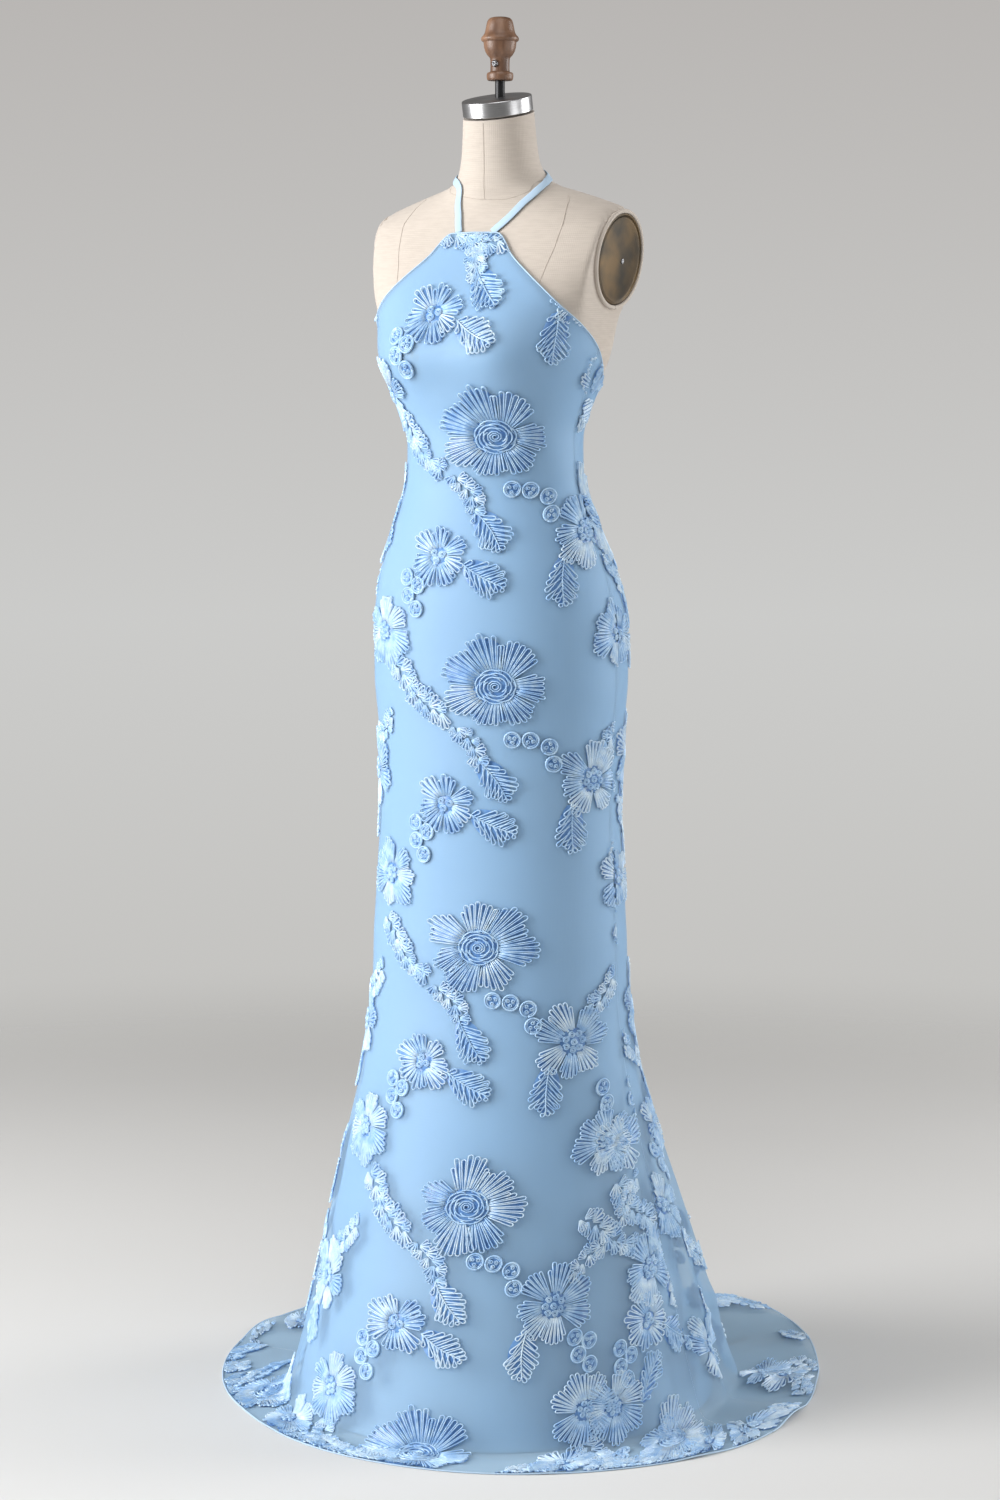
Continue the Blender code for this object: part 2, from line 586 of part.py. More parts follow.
class OverlayPanel:
    """A panel of the overlay: a plain inside of flat triangles, and the embroidered outside above it."""

    def __init__(self, surface, panel):
        self.surface, self.panel = surface, panel
        self.shares, self.levels = panel_grid(surface, panel, TRAIN_ROWS)
        self.inside = surface.at(self.shares, self.levels, thinning(self.levels, OVERLAY_INSIDE))
        across = (self.shares - panel["middle"]) * surface.girth(self.levels)
        self.pattern = np.stack([across, self.levels], axis=-1).reshape(-1, 2)
        self.rim = grid_border(*self.shares.shape)
        self.border = self.pattern[self.rim]
        self.motifs = motifs_of(surface, panel)

    def drawn(self):
        """Pattern points of the outside: the border first, then plain points, then the motifs."""
        chosen = list(self.border) + list(np.delete(self.pattern, self.rim, axis=0))
        for motif in self.motifs:
            for loop in (motif.middle(), motif.outline(), motif.outline(MOTIF_SLOPE)):
                loop = loop[inside_panel(self.surface, self.panel, loop)]
                near = [p for p in chosen if np.abs(p - motif.centre).max() < 2 * motif.reach]
                if len(loop):
                    chosen += list(loop[far_from(loop, near, LEAST_SPACING)])
        return np.array(chosen)

    def under(self, points):
        """Where pattern points lie on the inside's flat triangles, with the share and the normal there."""
        level = points[:, 1]
        share = self.panel["middle"] + points[:, 0] / self.surface.girth(level)
        rows, columns = self.shares.shape
        row = self.shares[rows // 2]
        i = np.clip(np.searchsorted(row, share) - 1, 0, columns - 2)
        u = np.clip((share - row[i]) / (row[i + 1] - row[i]), 0, 1)
        here = (1 - u) * self.levels[:, i] + u * self.levels[:, i + 1]
        j = np.clip((here <= level).sum(axis=0) - 1, 0, rows - 2)
        low, high = (np.take_along_axis(here, k[None], axis=0)[0] for k in (j, j + 1))
        v = np.clip((level - low) / (high - low), 0, 1)
        corner, right = self.inside[j, i], self.inside[j, i + 1]
        up, across = self.inside[j + 1, i], self.inside[j + 1, i + 1]
        u, v = u[:, None], v[:, None]
        point = np.where(u > v, corner + u * (right - corner) + v * (across - right),
                         corner + v * (up - corner) + u * (across - up))
        facing = self.surface.at(share, level, 1.0) - self.surface.at(share, level)
        return point, share, facing

    def above(self, points):
        """Where pattern points lie on the outside."""
        point, share, facing = self.under(points)
        rounded = self.surface.at(share, points[:, 1], thinning(points[:, 1], OVERLAY_INSIDE))
        fullness = np.clip(((rounded - point) * facing).sum(axis=1), 0, None)
        raised = np.max([motif.height(points) for motif in self.motifs], axis=0)
        return point + facing * (OVERLAY_WALL + fullness + raised)[:, None]

    def thin_places(self, points, faces, outside):
        """The lowest place of each edge that comes too near the inside."""
        sides = np.concatenate([faces[:, [0, 1]], faces[:, [1, 2]], faces[:, [2, 0]]])
        edges = np.unique(np.sort(sides, axis=1), axis=0)
        depth, lowest = np.full(len(edges), np.inf), np.zeros((len(edges), 2))
        for share in np.arange(1, 8) / 8:
            pattern = (1 - share) * points[edges[:, 0]] + share * points[edges[:, 1]]
            middle = (1 - share) * outside[edges[:, 0]] + share * outside[edges[:, 1]]
            point, _, facing = self.under(pattern)
            wall = ((middle - point) * facing).sum(axis=1)
            lowest[wall < depth] = pattern[wall < depth]
            depth = np.minimum(wall, depth)
        kept = []
        for k in np.argsort(depth):
            if depth[k] > LEAST_WALL:
                break
            clear = inside_panel(self.surface, self.panel, lowest[k][None])[0]
            if clear and far_from(lowest[k][None], kept, 2 * LEAST_SPACING)[0]:
                kept.append(lowest[k])
        return kept

    def build(self, name):
        chosen = self.drawn()
        for _ in range(MENDING_ROUNDS):
            points, faces, place = triangulated(chosen, self.border)
            outside = self.above(points)
            more = self.thin_places(points, faces, outside)
            if not more:
                break
            chosen = np.concatenate([chosen, more])
        outside[place] = self.above(self.border)
        inside = self.inside.reshape(-1, 3)
        first = len(outside)
        back = grid_triangles(*self.shares.shape)[:, ::-1] + first
        here, there = place, np.roll(place, -1)
        below, beyond = self.rim + first, np.roll(self.rim, -1) + first
        rim = np.concatenate([np.stack([there, here, below], 1), np.stack([there, below, beyond], 1)])
        mesh = mesh_of(name, np.concatenate([outside, inside]), np.concatenate([faces, back, rim]))
        return add_object(name, mesh, "sheer")


def lining_panel(name, surface, panel):
    """A panel of the lining, an even wall."""
    shares, levels = panel_grid(surface, panel, 1)
    points = surface.at(shares, levels, thinning(levels, LINING_INSIDE)).reshape(-1, 3)
    obj = add_object(name, mesh_of(name, points, grid_triangles(*shares.shape)), "satin")
    wall = obj.modifiers.new("wall", "SOLIDIFY")
    wall.thickness = LINING_WALL
    wall.offset = 1
    return obj


def beside(surface, share, level, away):
    """The pattern coordinates of the place on the surface that lies this way from a point on it."""
    step = 1e-4
    here = surface.at(share, level)
    over, up = surface.at(share + step, level) - here, surface.at(share, level + step) - here
    slopes = np.stack([over, up], axis=-1) / step
    moved = np.array([np.linalg.lstsq(slope, way, rcond=None)[0] for slope, way in zip(slopes, away)])
    return share + moved[:, 0], level + moved[:, 1]


def halter_strap(surface):
    """One band from the right corner of the neckline round the neck to the left corner."""
    order = np.arange(float(len(STRAP["share"])))
    at = np.linspace(0, order[-1], STRAP_SPANS + 1)
    share, level = smooth(at, order, STRAP["share"]), smooth(at, order, STRAP["level"])
    share = np.where(share < -.5, share + 1, share)
    middle = surface.at(share, level)
    facing = surface.at(share, level, 1.0) - middle
    aside = np.cross(facing, np.gradient(middle, axis=0))
    aside[[0, -1]] = np.sign(aside[[0, -1], :1]) * (1, 0, 0)    # the ends are cut along the neckline
    aside *= STRAP_WIDTH / 2 / np.linalg.norm(aside, axis=1, keepdims=True)
    left, right = beside(surface, share, level, aside), beside(surface, share, level, -aside)
    outside = STRAP_INSIDE + STRAP_THICKNESS
    corners = [surface.at(*edge, out) for edge, out in
               ((left, STRAP_INSIDE), (right, STRAP_INSIDE), (right, outside), (left, outside))]
    points = np.stack(corners, axis=1).reshape(-1, 3)
    sides = [(4 * k + c, 4 * k + (c + 1) % 4, 4 * k + 4 + (c + 1) % 4, 4 * k + 4 + c)
             for k in range(STRAP_SPANS) for c in range(4)]
    last = 4 * STRAP_SPANS
    work = bmesh.new()
    verts = [work.verts.new(p) for p in points]
    for face in sides + [(3, 2, 1, 0), (last, last + 1, last + 2, last + 3)]:
        work.faces.new([verts[k] for k in face])
    bmesh.ops.recalc_face_normals(work, faces=work.faces)
    return add_object("halter_strap", mesh_from_bmesh("halter_strap", work), "satin")


def arm_limit(heights):
    """How far out the form reaches at each side: the plane of the arm plates, opening out below them."""
    below = np.clip(PLATE["z"] - ARM_FLAT * PLATE["half_z"] - heights, 0, None)
    return ARM_PLANE + tan(ARM_TILT) * (heights - PLATE["z"]) + below


def form_torso(surface):
    """The solid linen body, cut flat at the arms and by a tilted plane at the neck."""
    front = np.array(FRONT_SHARES)
    back = np.array(BACK_SHARES)
    columns = np.concatenate([-back[:0:-1], -front[:0:-1], front, back[1:]])[:-1]
    body = np.array([level for level in CLOTH_LEVELS if level >= TORSO_BOTTOM])
    up = np.linspace(0, 1, NECKLINE_ROWS + 1)[1:, None]
    under_dress = body[-1] + up * (neckline(columns) - body[-1])
    up = np.linspace(0, 1, SHOULDER_ROWS + 1)[1:, None]
    shoulder = neckline(columns) + up * (SHOULDER_LEVEL - neckline(columns))
    waist, neck = (np.repeat(np.array(rows)[:, None], len(columns), axis=1)
                   for rows in (body, NECK_LEVELS + (NECK_TOP,)))
    levels = np.concatenate([waist, under_dress, shoulder, neck])
    points = surface.at(np.repeat(columns[None], len(levels), axis=0), levels)
    limit = arm_limit(points[..., 2])
    points[..., 0] = np.clip(points[..., 0], -limit, limit)
    rows, count = levels.shape
    faces = []
    for j in range(rows - 1):
        for i in range(count):
            a, b = j * count + i, j * count + (i + 1) % count
            faces += [(a, b, b + count), (a, b + count, a + count)]
    faces.append(tuple(range(count))[::-1])
    faces.append(tuple(range((rows - 1) * count, rows * count)))
    return add_object("form_torso", mesh_of("form_torso", points.reshape(-1, 3), faces), "linen")


def turned(name, radii, heights, colour):
    """A solid turned round +Z from a profile that runs down its outer side."""
    profile = [(0, heights[0])] + list(zip(radii, heights)) + [(0, heights[-1])]
    mesh = bpy.data.meshes.new(name)
    mesh.from_pydata([(r, 0, z) for r, z in profile], [(k, k + 1) for k in range(len(profile) - 1)], [])
    obj = add_object(name, mesh, colour)
    screw = obj.modifiers.new("turned", "SCREW")
    screw.steps = screw.render_steps = TURNED_STEPS
    screw.use_merge_vertices = True
    screw.merge_threshold = 1e-5
    return obj


def cap_top():
    """Height of the cap's top over its middle."""
    return NECK_TOP + LIFT / cos(NECK_TILT) + CAP["height"] / cos(NECK_TILT)


def neck_cap():
    radius, height, edge = CAP["radius"], CAP["height"], CAP["edge"]
    turn = np.linspace(pi / 2, 0, 4)
    radii = np.append(radius - edge + edge * np.cos(turn), radius)
    heights = np.append(height - edge + edge * np.sin(turn), 0)
    cap = turned("neck_cap", radii, heights, "steel")
    cap.location = (0, CAP["y"], NECK_TOP + LIFT / cos(NECK_TILT))
    cap.rotation_euler = (NECK_TILT, 0, 0)


def cap_rod():
    """The short rod, its foot cut to the slope of the cap."""
    top = FINIAL_BOTTOM - LIFT
    work = bmesh.new()
    bmesh.ops.create_cone(work, cap_ends=True, segments=TURNED_STEPS // 2, radius1=ROD_RADIUS,
                          radius2=ROD_RADIUS, depth=1)
    for vert in work.verts:
        foot = cap_top() + LIFT + tan(NECK_TILT) * (vert.co.y - CAP["y"])
        vert.co.z = top if vert.co.z > 0 else foot
    add_object("cap_rod", mesh_from_bmesh("cap_rod", work), "black")


def finial():
    turned("finial", FINIAL["radius"], FINIAL["height"], "wood")
    neck = FINIAL["radius"][FINIAL["height"] <= FINIAL_NECK_TOP].min()
    work = bmesh.new()
    bmesh.ops.create_cone(work, cap_ends=True, segments=SCREW["sides"], radius1=SCREW["radius"],
                          radius2=SCREW["face_radius"], depth=SCREW["length"])
    screw = add_object("finial_screw", mesh_from_bmesh("finial_screw", work), "black")
    screw.location = (0, -neck - LIFT - SCREW["length"] / 2, SCREW["height"])
    screw.rotation_euler = (pi / 2, 0, 0)


def arm_plates():
    for name, side in (("arm_plate_left", 1), ("arm_plate_right", -1)):
        work = bmesh.new()
        bmesh.ops.create_cone(work, cap_ends=True, segments=PLATE["sides"], radius1=1, radius2=PLATE["bevel"],
                              depth=PLATE["thick"])
        bmesh.ops.scale(work, vec=(PLATE["half_z"], PLATE["half_y"], 1), verts=work.verts)
        plate = add_object(name, mesh_from_bmesh(name, work), "bronze")
        out = LIFT + PLATE["thick"] / 2
        aside, down = out * cos(ARM_TILT), out * sin(ARM_TILT)
        plate.location = (side * (ARM_PLANE + aside), PLATE["y"], PLATE["z"] - down)
        plate.rotation_euler = (0, side * (pi / 2 + ARM_TILT), 0)


def stand():
    turned("stand_base", BASE["radius"], BASE["height"], "black")
    bottom, top = BASE["height"][0] + LIFT, TORSO_BOTTOM - LIFT
    work = bmesh.new()
    bmesh.ops.create_cone(work, cap_ends=True, segments=TURNED_STEPS // 2, radius1=POLE_RADIUS,
                          radius2=POLE_RADIUS, depth=top - bottom)
    pole = add_object("stand_pole", mesh_from_bmesh("stand_pole", work), "steel")
    pole.location = (0, 0, (bottom + top) / 2)


def dress():
    over = Surface(HEM["landing"], HEM["overlay"], fluted=True)
    under = Surface(HEM["lining"], HEM["lining"], fluted=False)
    for name, panel in PANELS.items():
        OverlayPanel(over, panel).build("overlay_" + name)
        lining_panel("lining_" + name, under, panel)
    halter_strap(over)
    form_torso(over)


for old in list(bpy.data.objects):
    bpy.data.objects.remove(old)
PART = bpy.data.collections.new("mermaid_prom_dress_on_dress_form")
bpy.context.scene.collection.children.link(PART)
dress()
neck_cap()
cap_rod()
finial()
arm_plates()
stand()
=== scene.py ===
"""The looks of a mermaid prom dress on a limbless dress form: satin, sheer net, ribbon embroidery and the form.

Metres, +Z up, the dress faces -Y. The cloth is laid out in pattern coordinates. A share says how far round the
ring a point lies: 0 at centre front, 0.25 at the left side seam, 0.5 or -0.5 at centre back. A level is the
height above the floor down to the knee, and below it the knee's height less the distance down the cloth.
"""

from math import cos, pi, radians, sin, tan

import bmesh
import bpy
import numpy as np
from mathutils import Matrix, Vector


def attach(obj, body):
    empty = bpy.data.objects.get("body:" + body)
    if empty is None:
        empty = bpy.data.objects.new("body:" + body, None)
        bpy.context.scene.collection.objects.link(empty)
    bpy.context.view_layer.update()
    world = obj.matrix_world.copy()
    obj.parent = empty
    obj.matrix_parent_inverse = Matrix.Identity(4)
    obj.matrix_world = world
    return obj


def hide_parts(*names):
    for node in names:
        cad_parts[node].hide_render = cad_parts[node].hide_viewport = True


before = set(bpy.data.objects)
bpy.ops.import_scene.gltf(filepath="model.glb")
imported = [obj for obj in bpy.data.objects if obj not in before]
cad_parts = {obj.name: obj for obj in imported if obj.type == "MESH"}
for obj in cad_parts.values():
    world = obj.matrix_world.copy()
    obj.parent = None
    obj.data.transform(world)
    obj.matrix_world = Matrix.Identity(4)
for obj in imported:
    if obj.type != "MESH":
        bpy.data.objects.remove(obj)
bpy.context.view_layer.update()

# Heights and lengths of the form and the dress
KNEE = 0.560
TORSO_BOTTOM = 0.780
SHOULDER_LEVEL = 1.400
NECK_TOP = 1.526
NECK_TILT = radians(13)
ARM_PLANE = 0.147
ARM_TILT = radians(8)
ARM_FLAT = 1.8
SKIRT_CLOTH = 0.86
LEVEL_STEP = 0.005
RING = 360
FINER = 6

# Layers, as distances out from the form's surface
LINING_OUT = 0.0010
NET_OUT = 0.0026
FLOOR_CLEARANCE = 0.0004
SETTLED_LEVEL = 0.100
SETTLING = 0.250
SEAM_GAP = 0.0003

# The lace repeats at these distances
REPEAT_ACROSS = 0.320
REPEAT_DOWN = 0.296
FIRST_ROSE_LEVEL = 1.153


def table(columns, *rows):
    """The rows of a table as one array for each named column."""
    return {name: np.array(values) for name, values in zip(columns.split(), zip(*rows))}


# Cross sections of the body. Front and back are measured from the pole's axis, centre is where the widest
# line lies, and square is the exponent of the superellipse.
SECTIONS = table(
    "height half_width front back centre square",
    (0.560, .156, .124, .119, .000, 2.05),
    (0.640, .151, .119, .117, .000, 2.05),
    (0.720, .147, .115, .113, .000, 2.05),
    (0.800, .149, .114, .116, .002, 2.10),
    (0.870, .154, .117, .119, .002, 2.15),
    (0.930, .153, .118, .117, .000, 2.15),
    (0.985, .144, .115, .108, -.004, 2.15),
    (1.040, .126, .103, .088, -.010, 2.10),
    (1.100, .107, .093, .072, -.012, 2.10),
    (1.150, .104, .096, .074, -.012, 2.15),
    (1.200, .118, .110, .083, -.008, 2.25),
    (1.245, .136, .126, .087, -.002, 2.35),
    (1.290, .148, .108, .090, .000, 2.30),
    (1.330, .173, .085, .095, .008, 2.35),
    (1.370, .195, .064, .098, .016, 2.35),
    (1.395, .188, .054, .096, .018, 2.10),
    (1.412, .162, .049, .082, .018, 1.70),
    (1.430, .112, .046, .066, .014, 1.45),
    (1.446, .061, .044, .056, .007, 1.80),
    (1.470, .0465, .042, .047, -.002, 2.00),
    (1.540, .0405, .0445, .0365, -.004, 2.00),
)
BUST = dict(depth=.008, x=.068, wide=.036, height=1.245, tall=.050)

# How the skirt leaves the knee: flare is the share of the way from the knee's radius to the landing on the
# floor, where it runs on
FLARE = table(
    "height flare",
    (.560, 0), (.500, .015), (.440, .07), (.390, .15), (.320, .30), (.246, .46), (.180, .60), (.130, .705),
    (.080, .81), (.045, .89), (.020, .955), (.007, 1.0), (.001, 1.06), (.000, 1.13), (.000, 5.13),
)

# Radii from the pole: where the overlay lands on the floor, where its hem lies, and the lining's hem
HEM = table(
    "angle landing overlay lining",
    (-180, .300, .500, .262),
    (-150, .294, .482, .258),
    (-125, .282, .446, .254),
    (-105, .270, .414, .250),
    (-85, .260, .371, .248),
    (-62, .257, .338, .246),
    (-35, .263, .318, .244),
    (0, .274, .325, .248),
    (30, .280, .337, .256),
    (55, .278, .348, .248),
    (80, .276, .364, .246),
    (100, .276, .370, .248),
    (120, .280, .386, .250),
    (140, .288, .420, .254),
    (160, .298, .478, .258),
    (180, .300, .500, .262),
)

# Soft flutes of the skirt: width is the share from crest to foot, start the level where each one begins
FLUTES = table(
    "share width depth start",
    (-.46875, .031, .011, .36),
    (-.40625, .031, .012, .38),
    (-.34375, .031, .010, .36),
    (-.28125, .031, .007, .30),
    (-.160, .030, .003, .16),
    (-.070, .030, .003, .12),
    (.100, .030, .003, .12),
    (.190, .030, .004, .16),
    (.28125, .031, .010, .40),
    (.34375, .031, .013, .42),
    (.40625, .031, .012, .40),
    (.46875, .031, .011, .36),
)
FLUTE_GROWTH = 0.34
FLUTE_FADES_FROM = 0.04
FLUTE_FADES_OVER = 0.20
FLUTE_LEFT_AT_HEM = 0.6

# Creases of the net, ridges and troughs (below 0) from one place to another
CREASES = table(
    "share level to_share to_level width depth",
    (.225, .300, .262, .130, .012, -.0035),
    (.262, .150, .350, -.010, .010, .0050),
    (.268, .100, .345, -.050, .008, -.0030),
    (.285, .175, .300, .080, .008, .0035),
    (.255, .080, .310, -.040, .008, .0030),
    (.290, .030, .395, -.090, .007, .0025),
    (.215, .030, .255, -.030, .006, .0015),
    (-.150, .120, -.110, .000, .010, .0025),
    (-.175, .060, -.215, -.060, .008, .0020),
    (-.260, .130, -.330, -.040, .010, .0040),
    (-.300, .100, -.390, -.080, .009, .0035),
    (-.370, .060, -.440, -.120, .009, .0030),
    (-.430, .080, -.480, -.150, .009, .0025),
    (.380, .070, .440, -.140, .009, .0030),
    (.430, .090, .480, -.160, .008, .0025),
    (.340, .120, .370, .010, .010, .0035),
)

NECKLINE = table(
    "share level",
    (0, 1.386), (.034, 1.385), (.060, 1.359), (.091, 1.338), (.144, 1.307), (.199, 1.280), (.250, 1.254),
    (.320, 1.207), (.400, 1.170), (.500, 1.155),
)

# Panels: the lace is measured from the panel's middle and shifted across and down on it.
PANELS = {
    "front": dict(first=-.25, last=.25, middle=0, shift=0, lower=0, repeats=(-2, -1, 0, 1), columns=120),
    "back_left": dict(first=.25, last=.5, middle=.5, shift=-.197, lower=.090, repeats=(-2, -1, 0), columns=64),
    "back_right": dict(first=-.5, last=-.25, middle=-.5, shift=-.197, lower=.090, repeats=(0, 1, 2, 3),
                       columns=64),
}
NET_ROWS = 230
LINING_ROWS = 120

# One repeat of the lace: across from the panel's middle, drop below the rose, turn from upright
REPEAT = table(
    "kind across drop turn",
    ("rose", .050, .000, 0),
    ("vine", -.058, .007, 52),
    ("link", .014, .064, 36),
    ("leaf", .045, .110, 38),
    ("pair", .078, .062, 88),
    ("pair", .112, .080, 14),
    ("daisy", .164, .110, 0),
    ("leaf", .138, .166, 5),
    ("small", -.014, .140, 0),
    ("leaf", .046, .161, 68),
    ("cluster", -.048, .182, 0),
    ("open", -.098, .229, 0),
    ("link", .205, .055, -60),
)

# How each row of repeats lies off its place
ROWS = table(
    "row across level",
    (-1, -.010, -.018),
    (0, -.003, .000),
    (1, .009, .009),
    (2, -.008, .000),
    (3, .008, -.006),
    (4, .000, .000),
    (5, .000, .000),
)

# Motifs low on the front, towards the wearer's left, where the flared cloth has room for more
FRONT_EXTRAS = table(
    "kind across level turn",
    ("vine", .000, 1.3785, 90),
    ("link", .012, 1.356, 12),
    ("pair", .205, .385, 20),
    ("small", .238, .327, 0),
    ("link", .262, .268, -35),
    ("vine", .232, .226, 70),
    ("daisy", .311, .178, 0),
    ("cluster", .218, .098, 10),
    ("open", .269, .030, 0),
    ("leaf", .325, .055, 150),
)

# Motifs along the hem: how far above the edge
HEM_ROW = table(
    "kind share above turn",
    ("vine", -.235, .018, 84),
    ("link", -.200, .016, 96),
    ("vine", -.165, .018, 84),
    ("link", -.130, .015, 94),
    ("leaf", -.118, .044, 130),
    ("open", -.078, .034, 20),
    ("link", -.052, .015, 94),
    ("vine", -.018, .014, 88),
    ("leaf", .004, .026, 70),
    ("link", .088, .013, 92),
    ("small", .112, .032, 0),
    ("vine", .142, .015, 84),
    ("pair", .152, .044, 10),
    ("link", .180, .014, 94),
    ("small", .214, .036, 20),
    ("leaf", .200, .076, 200),
    ("daisy", .250, .034, 0),
    ("link", .290, .014, 92),
    ("link", .330, .014, 88),
    ("small", .350, .040, 0),
    ("link", .376, .014, 96),
    ("link", .420, .014, 90),
    ("link", .465, .014, 94),
    ("small", .485, .040, 0),
    ("link", -.275, .016, 92),
    ("small", -.305, .038, 0),
    ("link", -.338, .014, 92),
    ("link", -.385, .014, 96),
    ("small", -.420, .060, 0),
    ("link", -.455, .014, 92),
    ("leaf", -.480, .048, 60),
)

# Ribbon of the embroidery: ridges over flatter beds, the beds coloured deeper as painted shade. Petals fill their
# share of the round, tall is a flower's height over its width, and pale the share of its petals with a painted
# highlight.
RIDGE_WIDTH = 0.0015
RIDGE_HEIGHT = 0.0016
BED_HEIGHT = 0.0012
# Slots of the ribbon: the beds carry a painted shade, and the pale ridges a painted highlight
RIDGES, PAINTED_SHADE_BEDS, PAINTED_HIGHLIGHT_RIDGES = 0, 1, 2
LEG_POINTS = 4
TIP_POINTS = 5
FLOWERS = {
    "rose": dict(petals=7, filled=.98, loops=7, inner=.0240, outer=.0690, tall=.83, pale=.30, coils=0),
    "daisy": dict(petals=7, filled=.90, loops=6, inner=.0150, outer=.0490, tall=1.0, pale=.30, coils=7,
                  ring=.0098, coil=.0050),
    "open": dict(petals=7, filled=.92, loops=6, inner=.0130, outer=.0470, tall=.95, pale=.40, coils=6,
                 ring=.0078, coil=.0044),
    "small": dict(petals=7, filled=.96, loops=4, inner=.0115, outer=.0420, tall=.90, pale=.60, coils=3,
                  ring=.0062, coil=.0056),
}
LEAF = dict(length=.058, half=.0185, loops=8, lean=radians(34))
VINES = {
    "vine": dict(length=.098, reach=.0180, fans=17, sway=.0050),
    "link": dict(length=.054, reach=.0140, fans=10, sway=.0035),
}
BERRY_RADIUS = 0.0102
PAIR = ((0, .0104), (0, -.0104))
CLUSTER = ((-.010, .017), (.008, .008), (-.007, -.004), (.006, -.019))
VARIANTS = 3
SEED = 11

# The halter strap's middle line on the form, from the neckline's right corner round the neck to its left one
STRAP_WIDTH = 0.009
STRAP_MIDDLE = 0.0022
STRAP_SPANS = 120
STRAP = table(
    "share level",
    (-.0235, 1.3863), (-.0325, 1.4050), (-.0510, 1.4230), (-.0800, 1.4385), (-.125, 1.4465), (-.175, 1.4500),
    (-.230, 1.4530), (-.320, 1.4565), (-.420, 1.4575), (-.500, 1.4575), (-.580, 1.4560), (-.650, 1.4530),
    (-.720, 1.4490), (-.790, 1.4425), (-.860, 1.4334), (-.918, 1.4190), (-.948, 1.4040), (-.965, 1.3930),
    (-.9738, 1.3863),
)

# Seams of the linen cover, each a line through places on the form
SEAMS = {
    "centre_front": ((.010, 1.5215), (.010, 1.47), (.011, 1.4265)),
    "centre_back": ((.5, 1.5215), (.5, 1.40), (.5, 1.10)),
    "princess_left": ((.196, 1.429), (.150, 1.414), (.127, 1.398), (.115, 1.374), (.111, 1.350), (.112, 1.320)),
    "princess_right": ((-.196, 1.429), (-.150, 1.414), (-.127, 1.398), (-.115, 1.374), (-.111, 1.350),
                       (-.112, 1.320)),
    "shoulder_blade_left": ((.300, 1.432), (.362, 1.380), (.385, 1.300), (.405, 1.150)),
    "shoulder_blade_right": ((-.300, 1.432), (-.362, 1.380), (-.385, 1.300), (-.405, 1.150)),
    "neck_base": ((-.500, 1.450), (-.350, 1.451), (-.200, 1.446), (-.120, 1.436), (-.040, 1.4295), (.000, 1.4265),
                  (.045, 1.4255), (.120, 1.434), (.200, 1.446), (.350, 1.451), (.500, 1.450)),
}
SEAM_RADIUS = 0.0003

# Hardware of the form
CAP = dict(radius=.0412, height=.0180, edge=.0015, y=-.004)
ROD_RADIUS = 0.00575
FINIAL_BOTTOM = 1.5643
FINIAL = table(
    "radius height",
    (.0005, 1.6370), (.0080, 1.6369), (.0115, 1.6360), (.0138, 1.6340), (.0150, 1.6315), (.0160, 1.6270),
    (.0170, 1.6220), (.0180, 1.6185), (.0186, 1.6175), (.0196, 1.6160), (.0215, 1.6140), (.0222, 1.6122),
    (.0219, 1.6105), (.0208, 1.6092), (.0193, 1.6085), (.0190, 1.6060), (.0186, 1.6020), (.0172, 1.5975),
    (.0150, 1.5937), (.0127, 1.5912), (.0116, 1.5898), (.01125, 1.5870), (.01110, 1.5800), (.01130, 1.5748),
    (.0122, 1.5738), (.0145, 1.5732), (.0154, 1.5718), (.0156, 1.5700), (.0154, 1.5668), (.0148, 1.5650),
    (.0140, FINIAL_BOTTOM),
)
SCREW = dict(radius=.0040, length=.0030, height=1.5830)
PLATE = dict(y=.019, z=1.356, half_y=.0515, half_z=.053, thick=.004)
BASE = table(
    "radius height",
    (.0240, .0400), (.0265, .0395), (.0280, .0370), (.0292, .0330), (.0300, .0300), (.0320, .0200),
    (.0360, .0182), (.0600, .0145), (.1600, .0095), (.1665, .0082), (.1690, .0062), (.1700, .0035), (.1700, 0),
)
POLE_RADIUS = 0.015
LIFT = 0.0003
TURNED_STEPS = 72

# The camera stands level with the chest, to the wearer's left of centre front
VIEW_AZIMUTH = radians(30)
VIEW_DISTANCE = 4.0
VIEW_HEIGHT = 1.22
VIEW_PITCH = radians(6.3)
SENSOR_HEIGHT = 36.0
LENS = 81.0


def smooth(at, x, y):
    """A monotone cubic curve through the points (x, y), read at the places given."""
    at = np.clip(np.asarray(at, float), x[0], x[-1])
    step, slope = np.diff(x), np.diff(y) / np.diff(x)
    ahead, behind = 2 * step[1:] + step[:-1], step[1:] + 2 * step[:-1]
    same_way = slope[:-1] * slope[1:] > 0
    first, second = np.where(same_way, slope[:-1], 1), np.where(same_way, slope[1:], 1)
    tangent = np.empty(len(x))
    tangent[1:-1] = np.where(same_way, (ahead + behind) / (ahead / first + behind / second), 0)
    tangent[0], tangent[-1] = slope[0], slope[-1]
    i = np.clip(np.searchsorted(x, at) - 1, 0, len(x) - 2)
    t, h = (at - x[i]) / step[i], step[i]
    return ((1 + 2 * t) * (1 - t) ** 2 * y[i] + t * (1 - t) ** 2 * h * tangent[i]
            + t * t * (3 - 2 * t) * y[i + 1] + t * t * (t - 1) * h * tangent[i + 1])


def ramp(value):
    """0 up to 0, 1 from 1, and smooth between them."""
    value = np.clip(value, 0, 1)
    return value * value * (3 - 2 * value)


def evenly_spaced(points, count):
    """The same path with its points at even distances."""
    along = np.concatenate([[0], np.cumsum(np.linalg.norm(np.diff(points, axis=0), axis=1))])
    at = np.linspace(0, along[-1], count)
    return np.stack([np.interp(at, along, points[:, k]) for k in range(points.shape[1])], axis=1)


